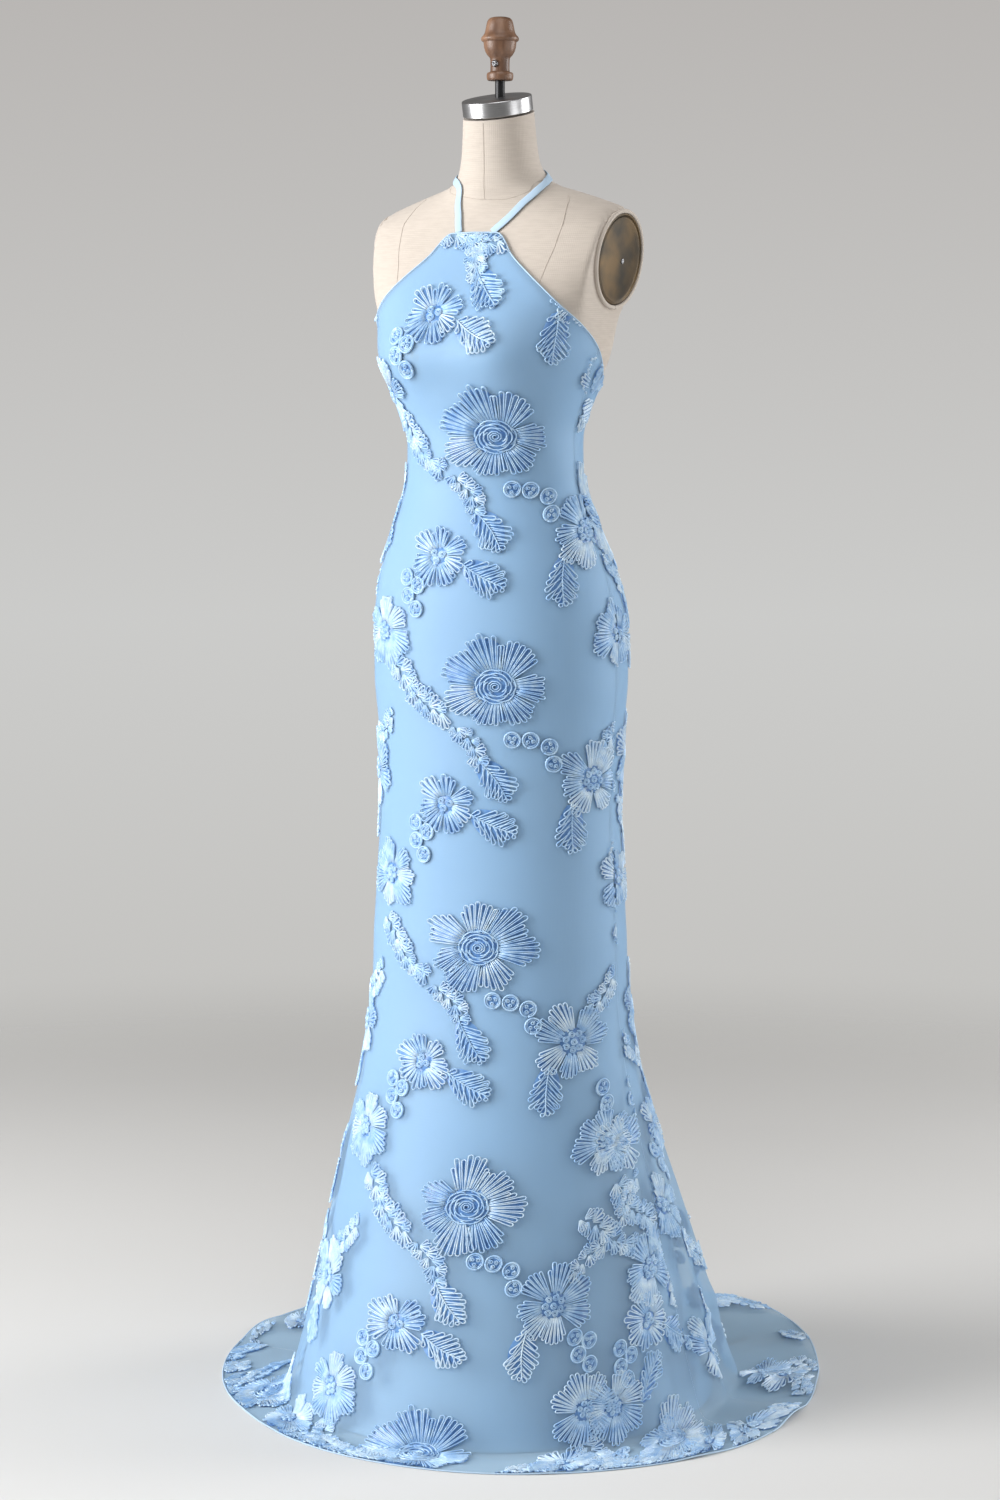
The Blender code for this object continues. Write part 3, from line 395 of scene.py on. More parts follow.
def body_ring(height):
    """The body's outline at a height, from centre back by centre front to centre back, evenly spaced."""
    half_width, front, back, centre, square = (
        smooth(height, SECTIONS["height"], SECTIONS[name])
        for name in ("half_width", "front", "back", "centre", "square")
    )
    turn = np.linspace(-pi, pi, FINER * RING + 1)
    ahead, aside = np.cos(turn), np.sin(turn)
    x = half_width * np.sign(aside) * np.abs(aside) ** (2 / square)
    depth = np.where(ahead > 0, front + centre, back - centre)
    y = centre - depth * np.sign(ahead) * np.abs(ahead) ** (2 / square)
    aside_of_cup = (np.abs(x) - BUST["x"]) / BUST["wide"]
    above_cup = (height - BUST["height"]) / BUST["tall"]
    y -= BUST["depth"] * np.exp(-aside_of_cup ** 2 - above_cup ** 2) * ramp(2 * ahead)
    return evenly_spaced(np.stack([x, y], axis=1), RING + 1)


def leaning_ring(level):
    """The body's outline as points, tilted forwards more and more from the shoulder to the cap."""
    ring = body_ring(level)
    lean = ramp((level - SHOULDER_LEVEL) / (NECK_TOP - SHOULDER_LEVEL))
    return np.column_stack([ring, level + lean * tan(NECK_TILT) * (ring[:, 1] - CAP["y"])])


def skirt_columns(knee, landing):
    """The skirt below the knee, a row for each step of cloth, each column straight out from the pole."""
    steps = int(round(SKIRT_CLOTH / LEVEL_STEP))
    columns = []
    for (x, y), land in zip(knee, landing):
        start = np.hypot(x, y)
        path = np.stack([start + FLARE["flare"] * (land - start), FLARE["height"]], axis=1)
        along = np.concatenate([[0], np.cumsum(np.linalg.norm(np.diff(path, axis=0), axis=1))])
        fine = np.linspace(0, SKIRT_CLOTH, FINER * steps)
        radius, z = smooth(fine, along, path[:, 0]), smooth(fine, along, path[:, 1])
        cloth = np.concatenate([[0], np.cumsum(np.hypot(np.diff(radius), np.diff(z)))])
        down = LEVEL_STEP * np.arange(steps + 1)
        radius, z = np.interp(down, cloth, radius), np.interp(down, cloth, z)
        columns.append(np.stack([radius * x / start, radius * y / start, z], axis=1))
    return np.array(columns).transpose(1, 0, 2)


def flutes(shares, levels):
    """How far the skirt's soft flutes stand out."""
    height = np.zeros(np.broadcast(shares, levels).shape)
    for share, width, depth, start in zip(*(FLUTES[name] for name in ("share", "width", "depth", "start"))):
        crest = np.clip(np.abs(shares - share) / width, 0, 1)
        grown = ramp((start - levels) / FLUTE_GROWTH)
        fading = 1 - (1 - FLUTE_LEFT_AT_HEM) * ramp((FLUTE_FADES_FROM - levels) / FLUTE_FADES_OVER)
        height += depth * .5 * (1 + np.cos(pi * crest)) * grown * fading
    return height


def creases(shares, levels, girths):
    """How far the net's creases stand out, each one a soft ridge that dies away at both ends."""
    height = np.zeros(np.broadcast(shares, levels).shape)
    for share, level, to_share, to_level, width, depth in zip(*CREASES.values()):
        girth = girths[np.searchsorted(levels[:, 0], (level + to_level) / 2)]
        along = np.array([(to_share - share) * girth, to_level - level])
        length = np.hypot(*along)
        x, y = (shares - share) * girth, levels - level
        at = (x * along[0] + y * along[1]) / length ** 2
        away = (x * along[1] - y * along[0]) / length
        height += depth * np.exp(-(away / width) ** 2) * ramp(4 * at) * ramp(4 * (1 - at))
    return height


class Surface:
    """The body and one skirt below it, read in pattern coordinates."""

    def __init__(self, landing, hem, loose):
        body_levels = np.arange(KNEE, SECTIONS["height"][-1] + LEVEL_STEP / 2, LEVEL_STEP)
        body = [leaning_ring(level) for level in body_levels]
        angle = np.degrees(np.arctan2(body[0][:, 0], -body[0][:, 1]))
        angle[0], angle[-1] = -180, 180
        skirt = skirt_columns(body[0][:, :2], smooth(angle, HEM["angle"], landing))
        down = LEVEL_STEP * np.arange(len(skirt))
        reach = smooth(angle, HEM["angle"], hem)
        lengths = [np.interp(r, np.hypot(*skirt[:, i, :2].T), down) for i, r in enumerate(reach)]
        self.shares = np.linspace(-.5, .5, RING + 1)
        self.hem_levels = KNEE - np.array(lengths)
        self.points = np.concatenate([skirt[:0:-1], np.array(body)])
        self.lowest = KNEE - down[-1]
        self.levels = self.lowest + LEVEL_STEP * np.arange(len(self.points))
        if loose:
            shares, levels = self.shares[None], self.levels[:, None]
            self.points = self.points + flutes(shares, levels)[..., None] * self.facing()
            out = creases(shares, levels, self.measured_girths())
            self.points = self.points + out[..., None] * self.facing()
            self.points[..., 2] = np.maximum(self.points[..., 2], 0)
        self.normals = self.facing()
        self.girths = self.measured_girths()

    def measured_girths(self):
        return np.linalg.norm(np.diff(self.points, axis=1), axis=2).sum(axis=1)

    def facing(self):
        """Unit normals, outwards, and upwards where the cloth lies on the floor."""
        ring = self.points[:, :-1]
        across = np.roll(ring, -1, axis=1) - np.roll(ring, 1, axis=1)
        normal = np.cross(across, np.gradient(ring, axis=0))
        normal /= np.linalg.norm(normal, axis=2, keepdims=True)
        return np.concatenate([normal, normal[:, :1]], axis=1)

    def at(self, shares, levels, out=0.0):
        """Points on the surface, moved outwards."""
        shares, levels, out = np.broadcast_arrays(shares, levels, out)
        row = np.clip((levels - self.lowest) / LEVEL_STEP, 0, len(self.points) - 1.001)
        column = np.clip((shares + .5) * RING, 0, RING - .001)
        i, j = row.astype(int), column.astype(int)
        v, u = (row - i)[..., None], (column - j)[..., None]
        read = []
        for grid in (self.points, self.normals):
            below = (1 - u) * grid[i, j] + u * grid[i, j + 1]
            over = (1 - u) * grid[i + 1, j] + u * grid[i + 1, j + 1]
            read.append((1 - v) * below + v * over)
        point, normal = read
        return point + out[..., None] * normal / np.linalg.norm(normal, axis=-1, keepdims=True)

    def girth(self, levels):
        return np.interp(levels, self.levels, self.girths)

    def hem(self, shares):
        return np.interp(shares, self.shares, self.hem_levels)


def neckline(shares):
    return smooth(np.abs(shares), NECKLINE["share"], NECKLINE["level"])


def thinning(levels, away_from_form):
    """A layer's distance from the form, closing to the floor clearance where the cloth comes down."""
    on_body = ramp((np.asarray(levels) - SETTLED_LEVEL) / SETTLING)
    return FLOOR_CLEARANCE + (away_from_form - FLOOR_CLEARANCE) * on_body


# ---- Meshes and pieces

def mesh_from(name, points, quads, slots=None):
    """A mesh of quads from arrays, shaded smooth."""
    mesh = bpy.data.meshes.new(name)
    mesh.vertices.add(len(points))
    mesh.vertices.foreach_set("co", np.asarray(points, np.float32).ravel())
    mesh.loops.add(quads.size)
    mesh.loops.foreach_set("vertex_index", quads.astype(np.int32).ravel())
    mesh.polygons.add(len(quads))
    mesh.polygons.foreach_set("loop_start", np.arange(0, quads.size, 4, dtype=np.int32))
    if slots is not None:
        mesh.polygons.foreach_set("material_index", slots.astype(np.int32))
    mesh.update(calc_edges=True)
    mesh.validate()
    mesh.shade_smooth()
    return mesh


def piece(name, mesh, materials, slot, *nodes):
    """An object of the part: it rides on the one body, and stands for the nodes given."""
    obj = bpy.data.objects.new(name, mesh)
    for material in materials if isinstance(materials, tuple) else (materials,):
        obj.data.materials.append(material)
    bpy.context.scene.collection.objects.link(obj)
    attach(obj, "root")
    if nodes:
        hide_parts(*nodes)
    return obj


def applied(obj):
    """The object with its modifiers applied."""
    bpy.context.view_layer.update()
    graph = bpy.context.evaluated_depsgraph_get()
    mesh = bpy.data.meshes.new_from_object(obj.evaluated_get(graph))
    obj.modifiers.clear()
    obj.data = mesh
    return obj


def grid_quads(rows, columns, closed=False):
    """The cells of a grid, facing whoever sees the rows go up and the columns right."""
    across = np.arange(columns if closed else columns - 1)
    corner = np.arange(rows - 1)[:, None] * columns + across
    right = np.arange(rows - 1)[:, None] * columns + (across + 1) % columns
    return np.stack([corner, right, right + columns, corner + columns], axis=-1).reshape(-1, 4)


def tube_mesh(name, path, radius, facing=None, sides=8, flat=1.0):
    """A closed tube along a path, flattened across the facing direction."""
    path = np.asarray(path, float)
    along = np.gradient(path, axis=0)
    along /= np.linalg.norm(along, axis=1, keepdims=True)
    up = np.broadcast_to((0, 0, 1.0) if facing is None else facing, path.shape)
    aside = np.cross(along, up)
    aside /= np.linalg.norm(aside, axis=1, keepdims=True)
    up = np.cross(aside, along)
    turn = 2 * pi * np.arange(sides) / sides
    ring = (path[:, None] + radius * np.cos(turn)[None, :, None] * aside[:, None]
            + radius * flat * np.sin(turn)[None, :, None] * up[:, None])
    quads = grid_quads(len(path), sides, closed=True)
    mesh = mesh_from(name, ring.reshape(-1, 3), quads)
    work = bmesh.new()
    work.from_mesh(mesh)
    bmesh.ops.holes_fill(work, edges=[edge for edge in work.edges if edge.is_boundary])
    bmesh.ops.recalc_face_normals(work, faces=work.faces)
    work.to_mesh(mesh)
    work.free()
    mesh.shade_smooth()
    return mesh


def turned_mesh(name, radii, heights, steps=TURNED_STEPS):
    """A solid turned round +Z from a profile that runs down its outer side."""
    turn = 2 * pi * np.arange(steps) / steps
    radii, heights = np.asarray(radii, float), np.asarray(heights, float)
    rings = np.stack([radii[:, None] * np.cos(turn), radii[:, None] * np.sin(turn),
                      np.repeat(heights[:, None], steps, axis=1)], axis=-1)
    mesh = mesh_from(name, rings.reshape(-1, 3), grid_quads(len(radii), steps, closed=True))
    work = bmesh.new()
    work.from_mesh(mesh)
    bmesh.ops.holes_fill(work, edges=[edge for edge in work.edges if edge.is_boundary])
    bmesh.ops.recalc_face_normals(work, faces=work.faces)
    work.to_mesh(mesh)
    work.free()
    mesh.shade_smooth()
    mesh.set_sharp_from_angle(angle=radians(35))
    return mesh


# ---- Materials

class Shader:
    """A material's node tree, with short calls to add and link nodes."""

    def __init__(self, name):
        self.material = bpy.data.materials.new(name)
        self.material.use_nodes = True
        self.tree = self.material.node_tree
        self.main = self.tree.nodes["Principled BSDF"]
        self.output = self.tree.nodes["Material Output"]

    def node(self, kind, **settings):
        made = self.tree.nodes.new(kind)
        for key, value in settings.items():
            setattr(made, key, value)
        return made

    def link(self, source, target):
        self.tree.links.new(source, target)

    def set(self, **values):
        """Values of the main shader's sockets, by name with _ for a space."""
        for key, value in values.items():
            self.main.inputs[key.replace("_", " ")].default_value = value

    def place(self, scale=(1, 1, 1)):
        """The point in space, scaled along each axis."""
        where = self.node("ShaderNodeTexCoord")
        mapping = self.node("ShaderNodeMapping")
        mapping.inputs["Scale"].default_value = scale
        self.link(where.outputs["Object"], mapping.inputs["Vector"])
        return mapping.outputs["Vector"]

    def noise(self, scale, detail=2.0, stretch=(1, 1, 1)):
        made = self.node("ShaderNodeTexNoise")
        made.inputs["Scale"].default_value = scale
        made.inputs["Detail"].default_value = detail
        self.link(self.place(stretch), made.inputs["Vector"])
        return made.outputs["Fac"]

    def blended(self, factor, *stops):
        """A colour ramp: each stop is (position, colour)."""
        made = self.node("ShaderNodeValToRGB")
        elements = made.color_ramp.elements
        while len(elements) < len(stops):
            elements.new(.5)
        for element, (position, colour) in zip(elements, stops):
            element.position = position
            element.color = (*colour, 1)
        self.link(factor, made.inputs["Fac"])
        return made.outputs["Color"]

    def bump(self, height, strength, distance):
        made = self.node("ShaderNodeBump")
        made.inputs["Strength"].default_value = strength
        made.inputs["Distance"].default_value = distance
        self.link(height, made.inputs["Height"])
        self.link(made.outputs["Normal"], self.main.inputs["Normal"])

    def weave(self, pitch):
        """Fine crossing threads as a height."""
        threads = []
        for direction in ("X", "Z"):
            wave = self.node("ShaderNodeTexWave", wave_type="BANDS", bands_direction=direction)
            wave.inputs["Scale"].default_value = 1 / (pitch * 20 / pi)
            self.link(self.place(), wave.inputs["Vector"])
            threads.append(wave.outputs["Fac"])
        both = self.node("ShaderNodeMath", operation="ADD")
        for k, thread in enumerate(threads):
            self.link(thread, both.inputs[k])
        return both.outputs["Value"]


def satin_material():
    """The lining and the strap: soft blue satin."""
    shader = Shader("satin_lining")
    colour = shader.blended(shader.noise(3.0), (.35, (.475, .645, .825)), (.65, (.505, .675, .845)))
    shader.link(colour, shader.main.inputs["Base Color"])
    shader.set(Roughness=.52, Sheen_Weight=.15, Sheen_Roughness=.4)
    shader.bump(shader.weave(.0012), .10, .0002)
    return shader.material


def net_material():
    """The sheer overlay: fine blue net, seen through and lit through."""
    shader = Shader("sheer_net")
    colour = shader.blended(shader.noise(4.0), (.35, (.385, .590, .790)), (.65, (.425, .625, .815)))
    shader.link(colour, shader.main.inputs["Base Color"])
    shader.set(Roughness=.55, Sheen_Weight=.2, Sheen_Roughness=.4)
    shader.bump(shader.weave(.0016), .15, .0002)
    through = shader.node("ShaderNodeBsdfTranslucent")
    shader.link(colour, through.inputs["Color"])
    fibre = shader.node("ShaderNodeMixShader")
    fibre.inputs["Fac"].default_value = .30
    shader.link(shader.main.outputs["BSDF"], fibre.inputs[1])
    shader.link(through.outputs["BSDF"], fibre.inputs[2])
    clear = shader.node("ShaderNodeBsdfTransparent")
    clear.inputs["Color"].default_value = (.88, .95, .99, 1)
    film = shader.node("ShaderNodeMixShader")
    film.inputs["Fac"].default_value = .56
    shader.link(clear.outputs["BSDF"], film.inputs[1])
    shader.link(fibre.outputs["Shader"], film.inputs[2])
    shader.link(film.outputs["Shader"], shader.output.inputs["Surface"])
    return shader.material


def ribbon_material(name, low, high, roughness):
    """Glossy satin ribbon, lighter and deeper from loop to loop."""
    shader = Shader(name)
    colour = shader.blended(shader.noise(110.0, 3.0), (.32, low), (.68, high))
    shader.link(colour, shader.main.inputs["Base Color"])
    shader.set(Roughness=roughness, Sheen_Weight=.2, Sheen_Roughness=.3, Specular_IOR_Level=.6)
    shader.bump(shader.noise(900.0, 2.0), .20, .0003)
    return shader.material


def ribbon_materials():
    """Ridges, beds in a deeper blue as painted shade, and pale ridges as a painted highlight, in the order of their
    slots.
    """
    return (ribbon_material("satin_ribbon", (.32, .55, .86), (.56, .77, .96), .24),
            # the beds: the ribbon in deeper blue, painted shade between the ridges
            ribbon_material("ribbon_bed_painted_shade", (.095, .235, .53), (.19, .38, .70), .30),
            # the pale ridges: the ribbon in paler blue, a painted highlight
            ribbon_material("pale_ribbon_painted_highlight", (.48, .69, .93), (.72, .87, .98), .22))


def linen_material():
    """Natural linen with slubs."""
    shader = Shader("linen_cover")
    slubs = shader.noise(60.0, 4.0, stretch=(1, 1, 6))
    colour = shader.blended(slubs, (.35, (.560, .495, .432)), (.6, (.595, .528, .462)))
    shader.link(colour, shader.main.inputs["Base Color"])
    shader.set(Roughness=.85, Sheen_Weight=.15)
    shader.bump(shader.weave(.0011), .35, .0002)
    return shader.material


def seam_material():
    shader = Shader("linen_seam")
    colour = shader.blended(shader.noise(300.0), (.4, (.45, .39, .335)), (.6, (.49, .43, .37)))
    shader.link(colour, shader.main.inputs["Base Color"])
    shader.set(Roughness=.9)
    return shader.material


def steel_material(name, low, high):
    """Brushed steel, its scratches running round the band."""
    shader = Shader(name)
    streaks = shader.noise(60.0, 3.0, stretch=(1, 1, 40))
    colour = shader.blended(streaks, (.3, low), (.7, high))
    shader.link(colour, shader.main.inputs["Base Color"])
    shader.set(Metallic=1.0, Roughness=.30)
    shader.bump(streaks, .12, .0002)
    return shader.material


def black_material():
    shader = Shader("black_metal")
    colour = shader.blended(shader.noise(40.0), (.4, (.012, .012, .013)), (.6, (.022, .022, .024)))
    shader.link(colour, shader.main.inputs["Base Color"])
    shader.set(Metallic=.4, Roughness=.36)
    shader.bump(shader.noise(700.0), .08, .0002)
    return shader.material


def wood_material():
    """Varnished turned wood with fine grain."""
    shader = Shader("turned_wood")
    grain = shader.noise(70.0, 5.0, stretch=(1, 1, .12))
    colour = shader.blended(grain, (.32, (.115, .055, .030)), (.52, (.23, .120, .068)), (.72, (.36, .205, .125)))
    shader.link(colour, shader.main.inputs["Base Color"])
    shader.set(Roughness=.44, Coat_Weight=.20, Coat_Roughness=.3)
    shader.bump(grain, .15, .0003)
    return shader.material


def bronze_material():
    """Dark burnished bronze, unevenly polished."""
    shader = Shader("burnished_bronze")
    stain = shader.noise(22.0, 4.0)
    colour = shader.blended(stain, (.38, (.017, .013, .007)), (.62, (.078, .048, .018)))
    shader.link(colour, shader.main.inputs["Base Color"])
    shader.set(Metallic=.8, Roughness=.38)
    shader.bump(shader.noise(260.0, 3.0), .10, .0003)
    return shader.material


def floor_material():
    """The pale floor, which ends in the pale air."""
    shader = Shader("pale_floor")
    colour = shader.blended(shader.noise(.8), (.4, (.72, .715, .70)), (.6, (.74, .735, .72)))
    shader.link(colour, shader.main.inputs["Base Color"])
    shader.set(Roughness=.7, Specular_IOR_Level=.2)
    where = shader.node("ShaderNodeTexCoord")
    distance = shader.node("ShaderNodeVectorMath", operation="LENGTH")
    shader.link(where.outputs["Object"], distance.inputs[0])
    fade = shader.node("ShaderNodeMapRange", interpolation_type="SMOOTHSTEP")
    fade.inputs["From Min"].default_value = FLOOR_FADE[0]
    fade.inputs["From Max"].default_value = FLOOR_FADE[1]
    shader.link(distance.outputs["Value"], fade.inputs["Value"])
    clear = shader.node("ShaderNodeBsdfTransparent")
    mix = shader.node("ShaderNodeMixShader")
    shader.link(fade.outputs["Result"], mix.inputs["Fac"])
    shader.link(shader.main.outputs["BSDF"], mix.inputs[1])
    shader.link(clear.outputs["BSDF"], mix.inputs[2])
    shader.link(mix.outputs["Shader"], shader.output.inputs["Surface"])
    return shader.material


# ---- Ribbon embroidery, first drawn flat

class Ribbonwork:
    """Ribbon drawn flat: points are x, y and the height above the cloth, faces are quads with a material slot."""

    def __init__(self):
        self.points, self.quads, self.slots, self.count = [], [], [], 0
        self.ridges = RIDGES

    def add(self, points, quads, slot):
        self.points.append(points)
        self.quads.append(quads + self.count)
        self.slots.append(np.full(len(quads), slot))
        self.count += len(points)

    def ridge(self, path, lift=0.0, width=RIDGE_WIDTH, height=RIDGE_HEIGHT):
        """A rounded ridge of ribbon along a path."""
        path = np.asarray(path, float)
        along = np.gradient(path, axis=0)
        aside = np.stack([-along[:, 1], along[:, 0]], axis=1)
        aside *= width / 2 / np.maximum(np.linalg.norm(aside, axis=1, keepdims=True), 1e-9)
        lift = np.broadcast_to(lift, len(path))
        corners = [np.column_stack([path + share * aside, lift + rise * height])
                   for share, rise in ((1, 0), (.5, 1), (-.5, 1), (-1, 0))]
        quads = grid_quads(len(path), 4)
        last = 4 * (len(path) - 1)
        ends = np.array([[3, 2, 1, 0], [last, last + 1, last + 2, last + 3]])
        self.add(np.stack(corners, axis=1).reshape(-1, 3), np.concatenate([quads, ends]), self.ridges)

    def bed(self, rows):
        """A patch of flat satin in the beds' deeper blue, a painted shade, given as rows of points with heights."""
        rows = np.asarray(rows)
        self.add(rows.reshape(-1, 3), grid_quads(*rows.shape[:2]), PAINTED_SHADE_BEDS)

    def disc(self, radius, height, origin=(0, 0)):
        """A round bed in the beds' painted-shade blue, highest in the middle."""
        at, turn = np.linspace(.04, 1, 5)[:, None], np.linspace(2 * pi, 0, 25)
        rise = np.broadcast_to(height * (1 - at ** 2) + .0002, (5, 25))
        self.bed(np.concatenate([polar(radius * at, turn) + origin, rise[..., None]], axis=-1))

    def coil(self, x, y, radius, turns, lift, start=0.0):
        """A ribbon wound from the middle out."""
        at = np.linspace(0, 1, int(8 * turns) + 2)
        angle = start + 2 * pi * turns * at
        r = radius * (.18 + .82 * at) - RIDGE_WIDTH / 2 * at
        self.ridge(np.column_stack([x + r * np.cos(angle), y + r * np.sin(angle)]), lift + .0006 * (1 - at))

    def joined(self):
        return np.concatenate(self.points), np.concatenate(self.quads), np.concatenate(self.slots)


def hairpin(base_left, base_right, tip, half_width):
    """A loop of ribbon: out to the tip, round it and back."""
    base_left, base_right, tip = map(np.asarray, (base_left, base_right, tip))
    along = tip - (base_left + base_right) / 2
    along = along / np.linalg.norm(along)
    aside = np.array([-along[1], along[0]])
    centre = tip - half_width * along
    turn = np.linspace(pi / 2, -pi / 2, TIP_POINTS)
    arc = centre + half_width * (np.cos(turn)[:, None] * along + np.sin(turn)[:, None] * aside)
    out = np.linspace(base_left, arc[0], LEG_POINTS)[:-1]
    back = np.linspace(arc[-1], base_right, LEG_POINTS)[1:]
    return np.concatenate([out, arc, back])


def polar(radius, angle):
    """A point from its distance and its turn from upright."""
    return np.stack([-radius * np.sin(angle), radius * np.cos(angle)], axis=-1)


def petal(work, angle, spread, inner, outer, loops, dice, origin=(0, 0)):
    """One petal: a domed bed of satin coloured as painted shade, and hairpin loops over it whose tips scallop the edge.
    """
    u, v = np.linspace(1, -1, 2 * loops + 1), np.linspace(0, 1, 5)
    bend, thick = dice.uniform(-.16, .16), min(1, .5 + outer / .06)
    rim = outer * (1 - .20 * u ** 2)
    radius = inner * .8 + v[:, None] * (rim * .94 - inner * .8)
    turn = angle + u * spread * .5 * (.80 + .20 * v[:, None]) + bend * v[:, None] ** 2
    height = BED_HEIGHT * np.sqrt(np.clip(1 - u ** 4, 0, 1)) * np.sin(pi * (.25 + .75 * v[:, None]))
    work.bed(np.concatenate([polar(radius, turn) + origin, thick * height[..., None]], axis=-1))
    for k in range(loops):
        place = (k + .5) / loops * 2 - 1
        tip = outer * (1 - .20 * place ** 2) * dice.uniform(.93, 1.05)
        middle = angle + place * spread * .5
        half = spread / loops / 2
        start = inner * dice.uniform(.85, 1.15)
        half_width = tip * half * dice.uniform(.60, .72)
        path = hairpin(polar(start, middle + half * .6), polar(start, middle - half * .6),
                       polar(tip, middle + bend), half_width) + origin
        at = np.linspace(0, 1, len(path))
        lift = .0005 + .0013 * thick * np.sin(pi * at) ** .5 * dice.uniform(.8, 1.2)
        work.ridge(path, lift, RIDGE_WIDTH * thick, RIDGE_HEIGHT * thick)


def flower(shape, dice):
    """Petals round a heart of coiled ribbon, or round a rose's whorl where it has no coils."""
    work = Ribbonwork()
    spacing = 2 * pi / shape["petals"]
    turned = dice.uniform(0, spacing)
    for k in range(shape["petals"]):
        outer = shape["outer"] * dice.uniform(.84, 1.06)
        spread = spacing * shape["filled"] * dice.uniform(.92, 1.04)
        # some petals get pale ridges, a painted highlight
        work.ridges = PAINTED_HIGHLIGHT_RIDGES if dice.uniform() < shape["pale"] else RIDGES
        petal(work, turned + k * spacing, spread, shape["inner"], outer, shape["loops"], dice)
    work.ridges = RIDGES
    work.disc(shape["inner"] * 1.08, .0022)
    if shape["coils"]:
        if shape["coils"] > 4:
            work.coil(0, 0, shape["coil"], 2.0, .0026)
        for k in range(shape["coils"]):
            x, y = polar(shape["ring"] * dice.uniform(.9, 1.1), turned + 2 * pi * k / shape["coils"])
            work.coil(x, y, shape["coil"], 2.0, .0018, dice.uniform(0, 2 * pi))
    else:
        whorl(work, dice)
    points, quads, slots = work.joined()
    return points * (1, shape["tall"], 1), quads, slots


def whorl(work, dice):
    """A rose's heart: a tight coil, then ribbons swirling round it."""
    work.coil(0, 0, .0100, 2.6, .0026, dice.uniform(0, 2 * pi))
    for radius, growth, count, lift in ((.0105, .0040, 4, .0024), (.0150, .0046, 5, .0018), (.0200, .0044, 7, .0010)):
        first = dice.uniform(0, 2 * pi)
        for k in range(count):
            at = np.linspace(0, 1, 9)
            angle = first + 2 * pi * k / count + at * 2 * pi / count * 1.5
            r = radius + growth * np.sin(pi * at) * .6 + growth * at * .5
            work.ridge(polar(r, angle), lift + .0005 * np.sin(pi * at), width=RIDGE_WIDTH * 1.2)


def leaf(shape, dice):
    """A leaf, its tip down: a midrib with slanting hairpin loops on both sides."""
    work = Ribbonwork()
    # some leaves get pale ridges, a painted highlight
    work.ridges = PAINTED_HIGHLIGHT_RIDGES if dice.uniform() < .4 else RIDGES
    length, half, loops, lean = (shape[name] for name in ("length", "half", "loops", "lean"))
    at = np.linspace(0, 1, 14)
    bend = dice.uniform(-.006, .006)
    rib = np.column_stack([bend * np.sin(pi * at), length * (.5 - at)])
    outline = .86 * half * np.sin(pi * np.clip(at * .92 + .06, 0, 1)) ** .7 * (1.30 - .75 * at)
    for side in (-1, 1):
        edge = rib + np.column_stack([side * outline, -np.abs(outline) * .3])
        middle = (rib + edge) / 2
        low, high = np.zeros(len(at)), np.full(len(at), BED_HEIGHT * .8)
        rows = [np.column_stack([edge, low]), np.column_stack([middle, high]), np.column_stack([rib, high])]
        rows = np.stack(rows, axis=1)[::-1]
        work.bed(rows if side < 0 else rows[:, ::-1])
        for k in range(loops):
            place = (k + .3) / loops
            reach = half * np.sin(pi * min(place * .92 + .06, 1)) ** .7 * (1.30 - .75 * place) * dice.uniform(.86, 1.10)
            base = np.array([np.interp(place, at, rib[:, 0]), length * (.5 - place)])
            leaning = lean + dice.uniform(.10, .35)
            tip = base + np.array([side * sin(leaning), -cos(leaning)]) * reach / sin(leaning)
            pitch = length / loops
            path = hairpin(base + (0, .25 * pitch), base - (0, .25 * pitch), tip, pitch * .33)
            spaced = np.linspace(0, 1, len(path))
            work.ridge(path, .0006 + .0012 * np.sin(pi * spaced) ** .5)
    work.ridge(rib, .0016, width=RIDGE_WIDTH)
    return work.joined()


def vine(shape, dice):
    """A stretch of vine, its tip down: small fans of loops on both sides of a winding stem."""
    work = Ribbonwork()
    phase = dice.uniform(0, 2 * pi)
    for k in range(shape["fans"]):
        at = (k + .5) / shape["fans"]
        stem = (shape["sway"] * sin(2 * pi * at + phase), shape["length"] * (.5 - at))
        side = 1 if k % 2 else -1
        reach = shape["reach"] * dice.uniform(.80, 1.20)
        # some fans get pale ridges, a painted highlight
        work.ridges = PAINTED_HIGHLIGHT_RIDGES if dice.uniform() < .45 else RIDGES
        petal(work, pi + side * dice.uniform(.45, 1.35), dice.uniform(1.1, 1.6), .0016, reach, 4, dice, stem)
    return work.joined()


def berries(places, dice):
    """Ringed coils."""
    work = Ribbonwork()
    for x, y in places:
        work.disc(BERRY_RADIUS * .9, .0008, (x, y))
        angle = np.linspace(0, 2 * pi, 19) + dice.uniform(0, 2 * pi)
        radius = BERRY_RADIUS - RIDGE_WIDTH * .7
        ring = np.column_stack([x + radius * np.cos(angle), y + radius * np.sin(angle)])
        work.ridge(ring, .0014, width=RIDGE_WIDTH * 1.5)
        work.ridge(ring + (np.array((x, y)) - ring) * .22, .0006, width=RIDGE_WIDTH)
        for k in range(3):
            dx, dy = polar(.0036, angle[0] + 2 * pi * k / 3)
            work.coil(x + dx, y + dy, .0034, 1.4, .0010, dice.uniform(0, 2 * pi))
    return work.joined()


def drawn_motifs():
    """A few versions of each motif, drawn flat."""
    dice = np.random.default_rng(SEED)
    drawn = {}
    for version in range(VARIANTS):
        for kind, shape in FLOWERS.items():
            drawn[kind, version] = flower(shape, dice)
        for kind, shape in VINES.items():
            drawn[kind, version] = vine(shape, dice)
        drawn["leaf", version] = leaf(LEAF, dice)
        drawn["pair", version] = berries(PAIR, dice)
        drawn["cluster", version] = berries(CLUSTER, dice)
    return drawn


